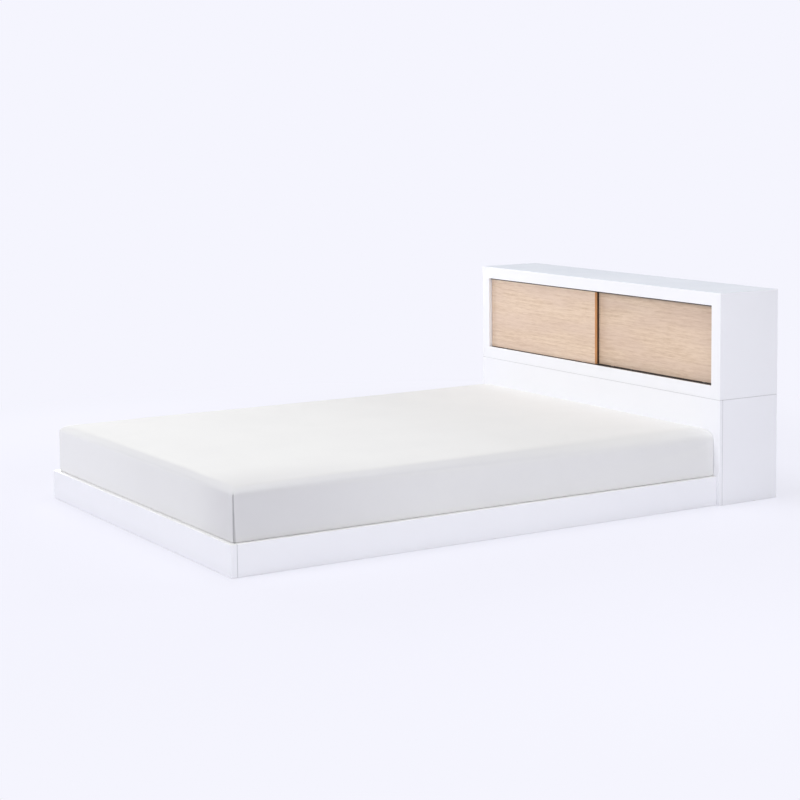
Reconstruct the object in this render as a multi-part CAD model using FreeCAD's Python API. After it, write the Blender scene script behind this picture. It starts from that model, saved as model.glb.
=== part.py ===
"""Bookcase bed: a low slatted frame, a two-tier headboard with a sliding-door cabinet, and a mattress.

The origin lies on the floor under the middle of the whole bed. +X points to the right of someone who
stands at the foot and faces the headboard, +Y runs from foot to head and +Z is up. Millimetres.
"""
import FreeCAD, Part
import os

Vector = FreeCAD.Vector
X_AXIS = Vector(1, 0, 0)
Y_AXIS = Vector(0, 1, 0)
Z_AXIS = Vector(0, 0, 1)
SIDES = {"left": -1, "right": 1}

# Mattress
MATTRESS_WIDTH = 1500.0
MATTRESS_LENGTH = 2000.0
MATTRESS_HEIGHT = 230.0
MATTRESS_CROWN = 6.0
MATTRESS_TOP_ROUND = 36.0
MATTRESS_BOTTOM_ROUND = 14.0
MATTRESS_CORNER_ROUND = 22.0
MATTRESS_WALL = 18.0
MATTRESS_BASE_CLOTH = 10.0
MATTRESS_CLEARANCE = 5.0
MATTRESS_SEAT_GAP = 0.3

# Boards
RAIL_BOARD = 22.0
PANEL_BOARD = 15.0
BACK_BOARD = 5.0
CABINET_BOARD = 50.0
CABINET_SKIN = 5.0
BATTEN_BEHIND_TRACK = 12.0
REAR_BATTEN = 45.0
CENTRE_WEB = 60.0
EDGE_ROUND = 1.5

# Bed frame
MATTRESS_RECESS = 51.0
SLAT_COUNT = 10
SLAT_WIDTH = 110.0
SLAT_THICKNESS = 18.0
SLAT_ROUND = 3.0
SLAT_END_GAP = 2.0
SLAT_MARGIN = 70.0
LEDGER_WIDTH = 25.0
LEDGER_HEIGHT = 25.0
LEDGER_SCREW_COUNT = 5
BEAM_WIDTH = 50.0
BEAM_HEIGHT = 30.0
BEAM_FOOT_COUNT = 3
BEAM_FOOT_HEIGHT = 12.0
BEAM_FOOT_RADIUS = 20.0
BEAM_FOOT_STEM_RADIUS = 4.0
BEAM_FOOT_STEM = 12.0
BEAM_FOOT_CHAMFER = 3.0
HANGER_SHEET = 2.5
HANGER_DEPTH = 36.0
HANGER_FLANGE = 24.0
HANGER_CLEARANCE = 0.3
HANGER_TOP_GAP = 2.0
BRACKET_SHEET = 2.5
BRACKET_LEG = 55.0
BRACKET_HEIGHT = 32.0
BRACKET_TOP_GAP = 2.0
BRACKET_HOLE_START = 20.0
BRACKET_HOLE_END = 13.0
LEDGER_BRACKET_GAP = 5.0

# Headboard
HEADBOARD_OVERHANG = 15.0
HEADBOARD_DEPTH = 286.0
BASE_HEIGHT = 402.0
CABINET_HEIGHT = 403.0
STRETCHER_HEIGHT = 70.0
BACK_INSET = 12.0
GROOVE_DEPTH = 6.0
GROOVE_CLEARANCE = 0.1
BACK_END_GAP = 0.5
DIVIDER_GAP = 3.0

# Sliding doors and their tracks
DOOR_BOARD = 15.0
DOOR_EDGE_BAND = 1.0
DOOR_EDGE_ROUND = 0.8
EDGE_BAND_ROUND_LIMIT = 0.9
DOOR_SETBACK = 15.0
DOOR_SPACING = 6.0
DOOR_OVERLAP = 12.0
DOOR_SIDE_GAP = 2.0
DOOR_BOTTOM_GAP = 2.0
DOOR_TOP_GAP = 3.0
BUMPER_CLEARANCE = 0.3
BUMPER_RADIUS = 5.0
TRACK_MARGIN = 9.0
TRACK_END_GAP = 0.3
CHANNEL_WIDTH = 8.0
BOTTOM_CHANNEL_DEPTH = 4.3
TOP_CHANNEL_DEPTH = 12.0
TRACK_FLOOR = 2.2
TRACK_SCREW_COUNT = 4
TRACK_SCREW_INSET = 80.0

# Rollers and guide pins
ROLLER_INSET = 90.0
WHEEL_RADIUS = 9.0
WHEEL_WIDTH = 5.0
WHEEL_RIM_ROUND = 0.8
WHEEL_TRACK_GAP = 0.3
WHEEL_CLEARANCE = 0.6
WHEEL_SIDE_CLEARANCE = 0.3
AXLE_RADIUS = 1.5
AXLE_CLEARANCE = 0.05
AXLE_END_GAP = 0.1
HOUSING_LENGTH = 32.0
HOUSING_WIDTH = 9.0
HOUSING_HEIGHT = 20.0
PIN_RADIUS = 3.0
PIN_RISE = 8.0
PIN_PLUG_RADIUS = 4.0
PIN_PLUG_LENGTH = 20.0
PIN_TIP = 1.0

# Fasteners
HOLE_CLEARANCE = 0.1
WOOD_SCREW_RADIUS = 2.0
WOOD_SCREW_HEAD = 4.2
WOOD_SCREW_BITE = 15.0
SMALL_SCREW_RADIUS = 1.75
SMALL_SCREW_HEAD = 3.6
SMALL_SCREW_LENGTH = 13.0
SMALL_SCREW_HEAD_HEIGHT = 2.2
TRACK_SCREW_LENGTH = 20.0
SCREW_TIP = 4.0
RECESS_WIDTH = 1.0
RECESS_DEPTH = 1.4
BOLT_RADIUS = 3.0
BOLT_HEAD_RADIUS = 6.0
BOLT_HEAD_HEIGHT = 4.0
BOLT_SOCKET_RADIUS = 2.3
BOLT_SOCKET_DEPTH = 2.4
BOLT_END_GAP = 0.5
INSERT_RADIUS = 5.0
INSERT_END_WALL = 3.0
TIER_BOLT_BITE = 25.0
TIER_BOLT_INSET = 92.0
TIER_BOLT_FRONT_DEPTH = 40.0
TIER_BOLT_BATTEN_OFFSET = 11.0
CAM_RADIUS = 7.5
CAM_END_WALL = 3.0
CAM_SETBACK = 34.0
CAM_BOLT_RADIUS = 3.0
CAM_BOLT_BITE = 9.0
CAM_BOLT_END_GAP = 0.3
CAM_MARGIN = 60.0
TOP_CAM_COUNT = 4
TOP_CAM_MARGIN = 190.0
CAM_SLOT_WIDTH = 1.2
CAM_SLOT_DEPTH = 1.5
DOWEL_RADIUS = 4.0
DOWEL_LENGTH = 32.0
DOWEL_CHAMFER = 1.0
DOWEL_BITE = 10.0
DIVIDER_DOWEL_MARGIN = 45.0
MITRE_DOWEL_FRONT_DEPTH = 32.0
BACK_SCREW_COUNT = 6
BACK_SCREW_MARGIN = 90.0
GLIDE_HEIGHT = 2.0
GLIDE_RADIUS = 6.5
GLIDE_BEVEL = 0.6
GLIDE_NAIL_RADIUS = 1.0
GLIDE_NAIL_LENGTH = 14.0
GLIDE_MARGIN = 90.0
GLIDES_PER_BOARD = 3

# Places worked out from the driving dimensions
INNER_WIDTH = MATTRESS_WIDTH + 2 * MATTRESS_CLEARANCE
INNER_LENGTH = MATTRESS_LENGTH + 2 * MATTRESS_CLEARANCE
FRAME_WIDTH = INNER_WIDTH + 2 * RAIL_BOARD
HEADBOARD_WIDTH = FRAME_WIDTH + 2 * HEADBOARD_OVERHANG
OVERALL_LENGTH = RAIL_BOARD + INNER_LENGTH + HEADBOARD_DEPTH
RAIL_INNER_X = INNER_WIDTH / 2
RAIL_OUTER_X = FRAME_WIDTH / 2
HEADBOARD_X = HEADBOARD_WIDTH / 2
BASE_INNER_X = HEADBOARD_X - PANEL_BOARD
OPENING_X = HEADBOARD_X - CABINET_BOARD
FOOT_Y = -OVERALL_LENGTH / 2
RAIL_START_Y = FOOT_Y + RAIL_BOARD
HEAD_Y = RAIL_START_Y + INNER_LENGTH
FRONT_PANEL_BACK_Y = HEAD_Y + PANEL_BOARD
BACK_Y = HEAD_Y + HEADBOARD_DEPTH
BACK_PANEL_REAR_Y = BACK_Y - BACK_INSET
BACK_PANEL_FRONT_Y = BACK_PANEL_REAR_Y - BACK_BOARD
SLAT_BOTTOM = BEAM_FOOT_HEIGHT + BEAM_HEIGHT
SLAT_TOP = SLAT_BOTTOM + SLAT_THICKNESS
RAIL_TOP = SLAT_TOP + MATTRESS_RECESS
LEDGER_BOTTOM = SLAT_BOTTOM - LEDGER_HEIGHT
LEDGER_INNER_X = RAIL_INNER_X - LEDGER_WIDTH
BRACKET_TOP = SLAT_BOTTOM - BRACKET_TOP_GAP
BRACKET_BOTTOM = BRACKET_TOP - BRACKET_HEIGHT
BRACKET_BOLT_Z = BRACKET_TOP - BRACKET_HEIGHT / 2
BRACKET_HOLES = (BRACKET_HOLE_START, BRACKET_LEG - BRACKET_HOLE_END)
INSERT_LENGTH = PANEL_BOARD - INSERT_END_WALL
BRACKET_BOLT_LENGTH = BRACKET_SHEET + INSERT_LENGTH - BOLT_END_GAP
CAM_DEPTH = PANEL_BOARD - CAM_END_WALL
BASE_TOP_UNDERSIDE = BASE_HEIGHT - PANEL_BOARD
OVERALL_HEIGHT = BASE_HEIGHT + CABINET_HEIGHT
OPENING_BOTTOM = BASE_HEIGHT + CABINET_BOARD
OPENING_TOP = OVERALL_HEIGHT - CABINET_BOARD
FRONT_DOOR_Y = HEAD_Y + DOOR_SETBACK
REAR_DOOR_Y = FRONT_DOOR_Y + DOOR_BOARD + DOOR_SPACING
DOOR_CENTRES_Y = (FRONT_DOOR_Y + DOOR_BOARD / 2, REAR_DOOR_Y + DOOR_BOARD / 2)
TRACK_FRONT_Y = FRONT_DOOR_Y - TRACK_MARGIN
TRACK_REAR_Y = REAR_DOOR_Y + DOOR_BOARD + TRACK_MARGIN
DIVIDER_FRONT_Y = TRACK_REAR_Y + DIVIDER_GAP
BATTEN_REAR_Y = TRACK_REAR_Y + BATTEN_BEHIND_TRACK
REAR_BATTEN_Y = BACK_Y - REAR_BATTEN
TIER_BOLTS_Y = (HEAD_Y + TIER_BOLT_FRONT_DEPTH, REAR_BATTEN_Y + TIER_BOLT_BATTEN_OFFSET)
MITRE_DOWELS_Y = (HEAD_Y + MITRE_DOWEL_FRONT_DEPTH, REAR_BATTEN_Y + REAR_BATTEN / 2)
DOOR_RUN = 2 * (OPENING_X - DOOR_SIDE_GAP)
DOOR_WIDTH = (DOOR_RUN + DOOR_OVERLAP) / 2
DOOR_TRAVEL = DOOR_RUN - DOOR_WIDTH
DOOR_BOTTOM = OPENING_BOTTOM + DOOR_BOTTOM_GAP
DOOR_TOP = OPENING_TOP - DOOR_TOP_GAP
CHANNEL_FLOOR = OPENING_BOTTOM - BOTTOM_CHANNEL_DEPTH
WHEEL_CENTRE_Z = CHANNEL_FLOOR + WHEEL_TRACK_GAP + WHEEL_RADIUS
MATTRESS_BOTTOM = SLAT_TOP + MATTRESS_SEAT_GAP
MATTRESS_CENTRE_Y = (RAIL_START_Y + HEAD_Y) / 2

pieces = {}
bores = {}


def block(low, high):
    """A plain box between two corners."""
    size = Vector(*high) - Vector(*low)
    return Part.makeBox(size.x, size.y, size.z, Vector(*low))


def board(low, high, edge_round=EDGE_ROUND):
    """A board between two corners, with every edge eased."""
    plain = block(low, high)
    return plain.makeFillet(edge_round, plain.Edges)


def turned(outline, at, along):
    """A solid turned from (radius, distance) points about the line through at in the direction along."""
    points = [Vector(radius, 0, distance) for radius, distance in outline]
    face = Part.Face(Part.makePolygon(points + points[:1]))
    solid = face.revolve(Vector(0, 0, 0), Z_AXIS, 360)
    solid.Placement = FreeCAD.Placement(Vector(*at), FreeCAD.Rotation(Z_AXIS, Vector(along)))
    return solid


def rod(radius, length, at, along):
    """A plain cylinder that starts at a point."""
    return Part.makeCylinder(radius, length, Vector(*at), Vector(along))


def evenly(first, last, count):
    """Evenly spaced values from first to last."""
    return [first + (last - first) * i / (count - 1) for i in range(count)]


def bore(names, tool):
    """Notes a hole or groove to be cut from the named pieces."""
    for name in names:
        bores.setdefault(name, []).append(tool)


def add_to_group(name, solid):
    """Adds one solid to a piece that is a group of like fasteners."""
    pieces.setdefault(name, []).append(solid)


def cross_recess(at, along, reach):
    """The cross-shaped driver recess of a screw head, as a cutting tool."""
    half = RECESS_WIDTH / 2
    arms = block((-reach, -half, -RECESS_DEPTH), (reach, half, RECESS_DEPTH))
    arms = arms.fuse(block((-half, -reach, -RECESS_DEPTH), (half, reach, RECESS_DEPTH)))
    arms.Placement = FreeCAD.Placement(Vector(*at), FreeCAD.Rotation(Z_AXIS, Vector(along)))
    return arms


def countersunk_screw(group, at, along, radius, head, length, into):
    """A countersunk screw with its head flush at a point, and its holes in the named pieces."""
    def outline(grown):
        return [
            (0, 0),
            (head + grown, 0),
            (radius + grown, head - radius),
            (radius + grown, length - SCREW_TIP),
            (0, length + grown),
        ]

    screw = turned(outline(0), at, along).cut(cross_recess(at, along, head / 2))
    add_to_group(group, screw)
    bore(into, turned(outline(HOLE_CLEARANCE), at, along))


def pan_screw(at, along, into):
    """A small round-headed screw whose head sits on the surface at a point."""
    radius, head, length = SMALL_SCREW_RADIUS, SMALL_SCREW_HEAD, SMALL_SCREW_LENGTH
    rise = SMALL_SCREW_HEAD_HEIGHT
    shank = [(radius, length - SCREW_TIP), (0, length)]
    crown = [(0, -rise), (head / 2, -rise), (head, -rise / 2), (head, 0), (radius, 0)]
    screw = turned(crown + shank, at, along)
    top = Vector(*at) - Vector(along) * rise
    add_to_group("pan_head_screws", screw.cut(cross_recess(top, along, head / 2)))
    hole = radius + HOLE_CLEARANCE
    hole_outline = [(0, 0), (hole, 0), (hole, length - SCREW_TIP), (0, length + HOLE_CLEARANCE)]
    bore(into, turned(hole_outline, at, along))


def socket_bolt(group, at, along, length, into):
    """A socket-headed bolt whose head sits on the surface at a point."""
    outline = [
        (BOLT_SOCKET_RADIUS, -BOLT_HEAD_HEIGHT),
        (BOLT_HEAD_RADIUS, -BOLT_HEAD_HEIGHT),
        (BOLT_HEAD_RADIUS, 0),
        (BOLT_RADIUS, 0),
        (BOLT_RADIUS, length),
        (0, length),
        (0, BOLT_SOCKET_DEPTH - BOLT_HEAD_HEIGHT),
        (BOLT_SOCKET_RADIUS, BOLT_SOCKET_DEPTH - BOLT_HEAD_HEIGHT),
    ]
    add_to_group(group, turned(outline, at, along))
    hole = BOLT_RADIUS + HOLE_CLEARANCE
    end = length + HOLE_CLEARANCE
    bore(into, rod(hole, end, at, along))


def threaded_insert(at, along, into):
    """A flush metal sleeve that takes a bolt, set into a board."""
    inner, outer = BOLT_RADIUS + HOLE_CLEARANCE, INSERT_RADIUS
    add_to_group(
        "threaded_inserts",
        turned([(inner, 0), (outer, 0), (outer, INSERT_LENGTH), (inner, INSERT_LENGTH)], at, along),
    )
    hole = outer + HOLE_CLEARANCE
    bore(into, rod(hole, INSERT_LENGTH, at, along))


def cam_joint(entry, inward, face_normal, cam_board, pin_board):
    """A cam disc in one board that draws up a pin screwed into another. entry is the middle of the edge."""
    entry, inward, face_normal = Vector(*entry), Vector(inward), Vector(face_normal)
    face = entry + inward * CAM_SETBACK + face_normal * (PANEL_BOARD / 2)
    disc = rod(CAM_RADIUS, CAM_DEPTH, face, -face_normal)
    slot = block(
        (-CAM_RADIUS, -CAM_SLOT_WIDTH / 2, -CAM_SLOT_DEPTH),
        (CAM_RADIUS, CAM_SLOT_WIDTH / 2, CAM_SLOT_DEPTH),
    )
    slot.Placement = FreeCAD.Placement(face, FreeCAD.Rotation(Z_AXIS, face_normal))
    add_to_group("cam_discs", disc.cut(slot))
    bore([cam_board], rod(CAM_RADIUS + HOLE_CLEARANCE, CAM_DEPTH, face, -face_normal))
    start = entry - inward * CAM_BOLT_BITE
    reach = CAM_BOLT_BITE + CAM_SETBACK - CAM_RADIUS - CAM_BOLT_END_GAP
    add_to_group("cam_bolts", rod(CAM_BOLT_RADIUS, reach, start, inward))
    hole = CAM_BOLT_RADIUS + HOLE_CLEARANCE
    bore([cam_board, pin_board], rod(hole, reach + CAM_RADIUS, start, inward))


def dowel(centre, along, into):
    """A wooden dowel centred on a joint."""
    start = Vector(*centre) - Vector(along).normalize() * (DOWEL_LENGTH / 2)
    tip = DOWEL_RADIUS - DOWEL_CHAMFER
    outline = [
        (0, 0),
        (tip, 0),
        (DOWEL_RADIUS, DOWEL_CHAMFER),
        (DOWEL_RADIUS, DOWEL_LENGTH - DOWEL_CHAMFER),
        (tip, DOWEL_LENGTH),
        (0, DOWEL_LENGTH),
    ]
    add_to_group("dowels", turned(outline, start, along))
    bore(into, rod(DOWEL_RADIUS + HOLE_CLEARANCE, DOWEL_LENGTH, start, along))


def floor_glide(x, y, under):
    """A nail-on glide under the bottom edge of a board."""
    outline = [
        (0, 0),
        (GLIDE_RADIUS - GLIDE_BEVEL, 0),
        (GLIDE_RADIUS, GLIDE_BEVEL),
        (GLIDE_RADIUS, GLIDE_HEIGHT),
        (GLIDE_NAIL_RADIUS, GLIDE_HEIGHT),
        (GLIDE_NAIL_RADIUS, GLIDE_NAIL_LENGTH),
        (0, GLIDE_NAIL_LENGTH),
    ]
    add_to_group("floor_glides", turned(outline, (x, y, 0), Z_AXIS))
    hole = GLIDE_NAIL_RADIUS + HOLE_CLEARANCE
    bore([under], rod(hole, GLIDE_NAIL_LENGTH + HOLE_CLEARANCE, (x, y, 0), Z_AXIS))


def make_bed_rails():
    """The footboard and the two side rails, standing on glides."""
    pieces["footboard"] = board(
        (-RAIL_OUTER_X, FOOT_Y, GLIDE_HEIGHT), (RAIL_OUTER_X, RAIL_START_Y, RAIL_TOP)
    )
    for x in evenly(GLIDE_MARGIN - RAIL_OUTER_X, RAIL_OUTER_X - GLIDE_MARGIN, GLIDES_PER_BOARD):
        floor_glide(x, FOOT_Y + RAIL_BOARD / 2, "footboard")
    for side, sign in SIDES.items():
        name = f"side_rail_{side}"
        inner, outer = sorted((sign * RAIL_INNER_X, sign * RAIL_OUTER_X))
        pieces[name] = board((inner, RAIL_START_Y, GLIDE_HEIGHT), (outer, HEAD_Y, RAIL_TOP))
        for y in evenly(RAIL_START_Y + GLIDE_MARGIN, HEAD_Y - GLIDE_MARGIN, GLIDES_PER_BOARD):
            floor_glide(sign * (RAIL_INNER_X + RAIL_BOARD / 2), y, name)


def slat_centres():
    """The middle of each slat along the bed."""
    edge = SLAT_MARGIN + SLAT_WIDTH / 2
    return evenly(RAIL_START_Y + edge, HEAD_Y - edge, SLAT_COUNT)


def make_slats():
    """The slats, and the screws that hold each one down to the two ledgers."""
    reach = RAIL_INNER_X - SLAT_END_GAP
    for number, y in enumerate(slat_centres(), 1):
        name = f"slat_{number:02d}"
        pieces[name] = board(
            (-reach, y - SLAT_WIDTH / 2, SLAT_BOTTOM),
            (reach, y + SLAT_WIDTH / 2, SLAT_TOP),
            SLAT_ROUND,
        )
        for side, sign in SIDES.items():
            countersunk_screw(
                "wood_screws",
                (sign * (RAIL_INNER_X - LEDGER_WIDTH / 2), y, SLAT_TOP),
                -Z_AXIS,
                WOOD_SCREW_RADIUS,
                WOOD_SCREW_HEAD,
                SLAT_THICKNESS + WOOD_SCREW_BITE,
                [name, f"slat_ledger_{side}"],
            )


def make_ledgers():
    """The battens along the rails that carry the slat ends."""
    first = RAIL_START_Y + BRACKET_LEG + LEDGER_BRACKET_GAP
    last = HEAD_Y - BRACKET_LEG - LEDGER_BRACKET_GAP
    middles = slat_centres()
    gaps = [(a + b) / 2 for a, b in zip(middles, middles[1:])]
    step = (len(gaps) - 1) / (LEDGER_SCREW_COUNT - 1)
    for side, sign in SIDES.items():
        name = f"slat_ledger_{side}"
        inner, outer = sorted((sign * LEDGER_INNER_X, sign * RAIL_INNER_X))
        pieces[name] = board((inner, first, LEDGER_BOTTOM), (outer, last, SLAT_BOTTOM))
        for y in [gaps[round(i * step)] for i in range(LEDGER_SCREW_COUNT)]:
            countersunk_screw(
                "wood_screws",
                (sign * LEDGER_INNER_X, y, LEDGER_BOTTOM + LEDGER_HEIGHT / 2),
                X_AXIS * sign,
                WOOD_SCREW_RADIUS,
                WOOD_SCREW_HEAD,
                LEDGER_WIDTH + WOOD_SCREW_BITE,
                [name, f"side_rail_{side}"],
            )


def make_centre_beam():
    """The beam under the middle of the slats, with its hangers at the ends and feet between them."""
    half = BEAM_WIDTH / 2
    start, end = RAIL_START_Y + HANGER_SHEET, HEAD_Y - HANGER_SHEET
    pieces["centre_beam"] = board((-half, start, BEAM_FOOT_HEIGHT), (half, end, SLAT_BOTTOM))
    stem_top = BEAM_FOOT_HEIGHT + BEAM_FOOT_STEM
    foot = [
        (0, 0),
        (BEAM_FOOT_RADIUS, 0),
        (BEAM_FOOT_RADIUS, BEAM_FOOT_HEIGHT - BEAM_FOOT_CHAMFER),
        (BEAM_FOOT_RADIUS - BEAM_FOOT_CHAMFER, BEAM_FOOT_HEIGHT),
        (BEAM_FOOT_STEM_RADIUS, BEAM_FOOT_HEIGHT),
        (BEAM_FOOT_STEM_RADIUS, stem_top),
        (0, stem_top),
    ]
    hole = BEAM_FOOT_STEM_RADIUS + HOLE_CLEARANCE
    for y in evenly(start, end, BEAM_FOOT_COUNT + 2)[1:-1]:
        add_to_group("centre_feet", turned(foot, (0, y, 0), Z_AXIS))
        bore(["centre_beam"], rod(hole, stem_top, (0, y, 0), Z_AXIS))
    for wall_y, inward, into in ((RAIL_START_Y, 1, "footboard"), (HEAD_Y, -1, "base_front_panel")):
        make_beam_hanger(wall_y, inward, into)


def make_beam_hanger(wall_y, inward, into):
    """A folded steel saddle that carries one end of the centre beam."""
    pocket = BEAM_WIDTH / 2 + HANGER_CLEARANCE
    cheek = pocket + HANGER_SHEET
    flange = cheek + HANGER_FLANGE
    floor = BEAM_FOOT_HEIGHT - HANGER_SHEET
    top = SLAT_BOTTOM - HANGER_TOP_GAP
    plate_y = wall_y + inward * HANGER_SHEET
    mouth_y = wall_y + inward * HANGER_DEPTH

    def between(x0, x1, y0, y1, z0, z1):
        return block((x0, min(y0, y1), z0), (x1, max(y0, y1), z1))

    plate = between(-flange, flange, wall_y, plate_y, floor, top)
    saddle = between(-cheek, cheek, plate_y, mouth_y, floor, top)
    saddle = saddle.cut(between(-pocket, pocket, plate_y, mouth_y, BEAM_FOOT_HEIGHT, top))
    add_to_group("beam_hangers", plate.fuse(saddle).removeSplitter())
    for sign in SIDES.values():
        at = (sign * (cheek + HANGER_FLANGE / 2), plate_y, (floor + top) / 2)
        pan_screw(at, Y_AXIS * -inward, ["beam_hangers", into])


def make_corner_brackets():
    """Steel angles with bolts that join the side rails to the footboard and to the headboard."""
    ends = {"footboard": (RAIL_START_Y, 1), "base_front_panel": (HEAD_Y, -1)}
    for cross_board, (corner_y, inward) in ends.items():
        for side, sign in SIDES.items():
            corner = Vector(sign * RAIL_INNER_X, corner_y, BRACKET_BOTTOM)
            reach = Vector(-sign * BRACKET_LEG, inward * BRACKET_LEG, BRACKET_HEIGHT)
            sheet = Vector(-sign * BRACKET_SHEET, inward * BRACKET_SHEET, 0)
            rail_leg = span(corner, Vector(sheet.x, reach.y, reach.z))
            cross_leg = span(corner, Vector(reach.x, sheet.y, reach.z))
            add_to_group("corner_brackets", rail_leg.fuse(cross_leg).removeSplitter())
            for distance in BRACKET_HOLES:
                rail_point = Vector(corner.x, corner_y + inward * distance, BRACKET_BOLT_Z)
                cross_point = Vector(corner.x - sign * distance, corner_y, BRACKET_BOLT_Z)
                bolt_through(rail_point, X_AXIS * sign, f"side_rail_{side}")
                bolt_through(cross_point, Y_AXIS * -inward, cross_board)


def span(corner, size):
    """A box from a corner with signed lengths along each axis."""
    low = [min(c, c + s) for c, s in zip(corner, size)]
    high = [max(c, c + s) for c, s in zip(corner, size)]
    return block(low, high)


def bolt_through(board_point, into_board, board_name):
    """A bracket bolt and the insert that it screws into, at a point on the board's face."""
    threaded_insert(board_point, into_board, [board_name])
    head_seat = board_point - into_board * BRACKET_SHEET
    socket_bolt("bracket_bolts", head_seat, into_board, BRACKET_BOLT_LENGTH, ["corner_brackets", board_name])


def back_groove(low_x, high_x, low_z, high_z):
    """The slot that holds the edge of a thin back panel, as a cutting tool."""
    return block(
        (low_x, BACK_PANEL_FRONT_Y - GROOVE_CLEARANCE, low_z),
        (high_x, BACK_PANEL_REAR_Y + GROOVE_CLEARANCE, high_z),
    )


def make_base():
    """The lower tier of the headboard: a hollow box of thin boards that the cabinet stands on."""
    make_base_boards()
    make_base_joints()
    make_base_back()
    glide_y = HEAD_Y + PANEL_BOARD / 2
    for x in evenly(GLIDE_MARGIN - HEADBOARD_X, HEADBOARD_X - GLIDE_MARGIN, GLIDES_PER_BOARD):
        floor_glide(x, glide_y, "base_front_panel")
    rear_y = BACK_PANEL_FRONT_Y - GLIDE_MARGIN
    floor_glide(0, rear_y, "base_partition")
    for side, sign in SIDES.items():
        floor_glide(sign * (HEADBOARD_X - PANEL_BOARD / 2), rear_y, f"base_side_{side}")


def make_base_boards():
    """Front panel, sides, top panel, partition and rear stretcher of the lower tier."""
    low_z = GLIDE_HEIGHT
    pieces["base_front_panel"] = board(
        (-HEADBOARD_X, HEAD_Y, low_z), (HEADBOARD_X, FRONT_PANEL_BACK_Y, BASE_HEIGHT)
    )
    for side, sign in SIDES.items():
        inner, outer = sorted((sign * BASE_INNER_X, sign * HEADBOARD_X))
        pieces[f"base_side_{side}"] = board(
            (inner, FRONT_PANEL_BACK_Y, low_z), (outer, BACK_Y, BASE_HEIGHT)
        )
    pieces["base_top_panel"] = board(
        (-BASE_INNER_X, FRONT_PANEL_BACK_Y, BASE_TOP_UNDERSIDE), (BASE_INNER_X, BACK_Y, BASE_HEIGHT)
    )
    half = PANEL_BOARD / 2
    pieces["base_partition"] = board(
        (-half, FRONT_PANEL_BACK_Y, low_z), (half, BACK_PANEL_FRONT_Y, BASE_TOP_UNDERSIDE)
    )
    stretcher_y = BACK_PANEL_FRONT_Y - PANEL_BOARD
    stretcher_low = (-BASE_INNER_X, stretcher_y, low_z)
    stretcher_high = (BASE_INNER_X, BACK_PANEL_FRONT_Y, low_z + STRETCHER_HEIGHT)
    pieces["base_stretcher"] = board(stretcher_low, stretcher_high)
    bore(["base_partition"], block(stretcher_low, stretcher_high))


def make_base_joints():
    """Cam locks and dowels that draw the lower tier together."""
    middle_z = (GLIDE_HEIGHT + BASE_HEIGHT) / 2
    cam_heights = (GLIDE_HEIGHT + CAM_MARGIN, middle_z, BASE_HEIGHT - CAM_MARGIN)
    top_z = BASE_HEIGHT - PANEL_BOARD / 2
    stretcher_y = BACK_PANEL_FRONT_Y - PANEL_BOARD / 2
    for side, sign in SIDES.items():
        name = f"base_side_{side}"
        side_x = sign * (HEADBOARD_X - PANEL_BOARD / 2)
        inward_x = X_AXIS * -sign
        for z in cam_heights:
            cam_joint((side_x, FRONT_PANEL_BACK_Y, z), Y_AXIS, inward_x, name, "base_front_panel")
        for low, high in zip(cam_heights, cam_heights[1:]):
            centre = (side_x, FRONT_PANEL_BACK_Y + DOWEL_LENGTH / 2 - DOWEL_BITE, (low + high) / 2)
            dowel(centre, Y_AXIS, [name, "base_front_panel"])
        for y in (FRONT_PANEL_BACK_Y + CAM_MARGIN, BACK_PANEL_FRONT_Y - CAM_MARGIN):
            cam_joint((sign * BASE_INNER_X, y, top_z), inward_x, -Z_AXIS, "base_top_panel", name)
        stretcher_z = GLIDE_HEIGHT + STRETCHER_HEIGHT / 2
        stretcher_end = (sign * BASE_INNER_X, stretcher_y, stretcher_z)
        cam_joint(stretcher_end, inward_x, -Y_AXIS, "base_stretcher", name)
    for x in evenly(TOP_CAM_MARGIN - BASE_INNER_X, BASE_INNER_X - TOP_CAM_MARGIN, TOP_CAM_COUNT):
        cam_joint((x, FRONT_PANEL_BACK_Y, top_z), Y_AXIS, -Z_AXIS, "base_top_panel", "base_front_panel")
    for z in (cam_heights[0], middle_z):
        cam_joint((0, FRONT_PANEL_BACK_Y, z), Y_AXIS, X_AXIS, "base_partition", "base_front_panel")


def make_base_back():
    """The thin back panel of the lower tier, held in grooves and screwed to the stretcher."""
    reach = GROOVE_DEPTH - BACK_END_GAP
    low_z = GLIDE_HEIGHT + GROOVE_DEPTH
    pieces["base_back_panel"] = block(
        (-BASE_INNER_X - reach, BACK_PANEL_FRONT_Y, low_z),
        (BASE_INNER_X + reach, BACK_PANEL_REAR_Y, BASE_TOP_UNDERSIDE + reach),
    )
    groove_x = BASE_INNER_X + GROOVE_DEPTH
    groove_top = BASE_TOP_UNDERSIDE + GROOVE_DEPTH
    bore(
        ["base_side_left", "base_side_right", "base_top_panel"],
        back_groove(-groove_x, groove_x, low_z - BACK_END_GAP, groove_top),
    )
    stretcher_z = GLIDE_HEIGHT + STRETCHER_HEIGHT / 2
    for x in evenly(BACK_SCREW_MARGIN - BASE_INNER_X, BASE_INNER_X - BACK_SCREW_MARGIN, BACK_SCREW_COUNT):
        pan_screw((x, BACK_PANEL_REAR_Y, stretcher_z), -Y_AXIS, ["base_back_panel", "base_stretcher"])
    for z in evenly(stretcher_z, BASE_TOP_UNDERSIDE, 4)[1:-1]:
        pan_screw((0, BACK_PANEL_REAR_Y, z), -Y_AXIS, ["base_back_panel", "base_partition"])


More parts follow.
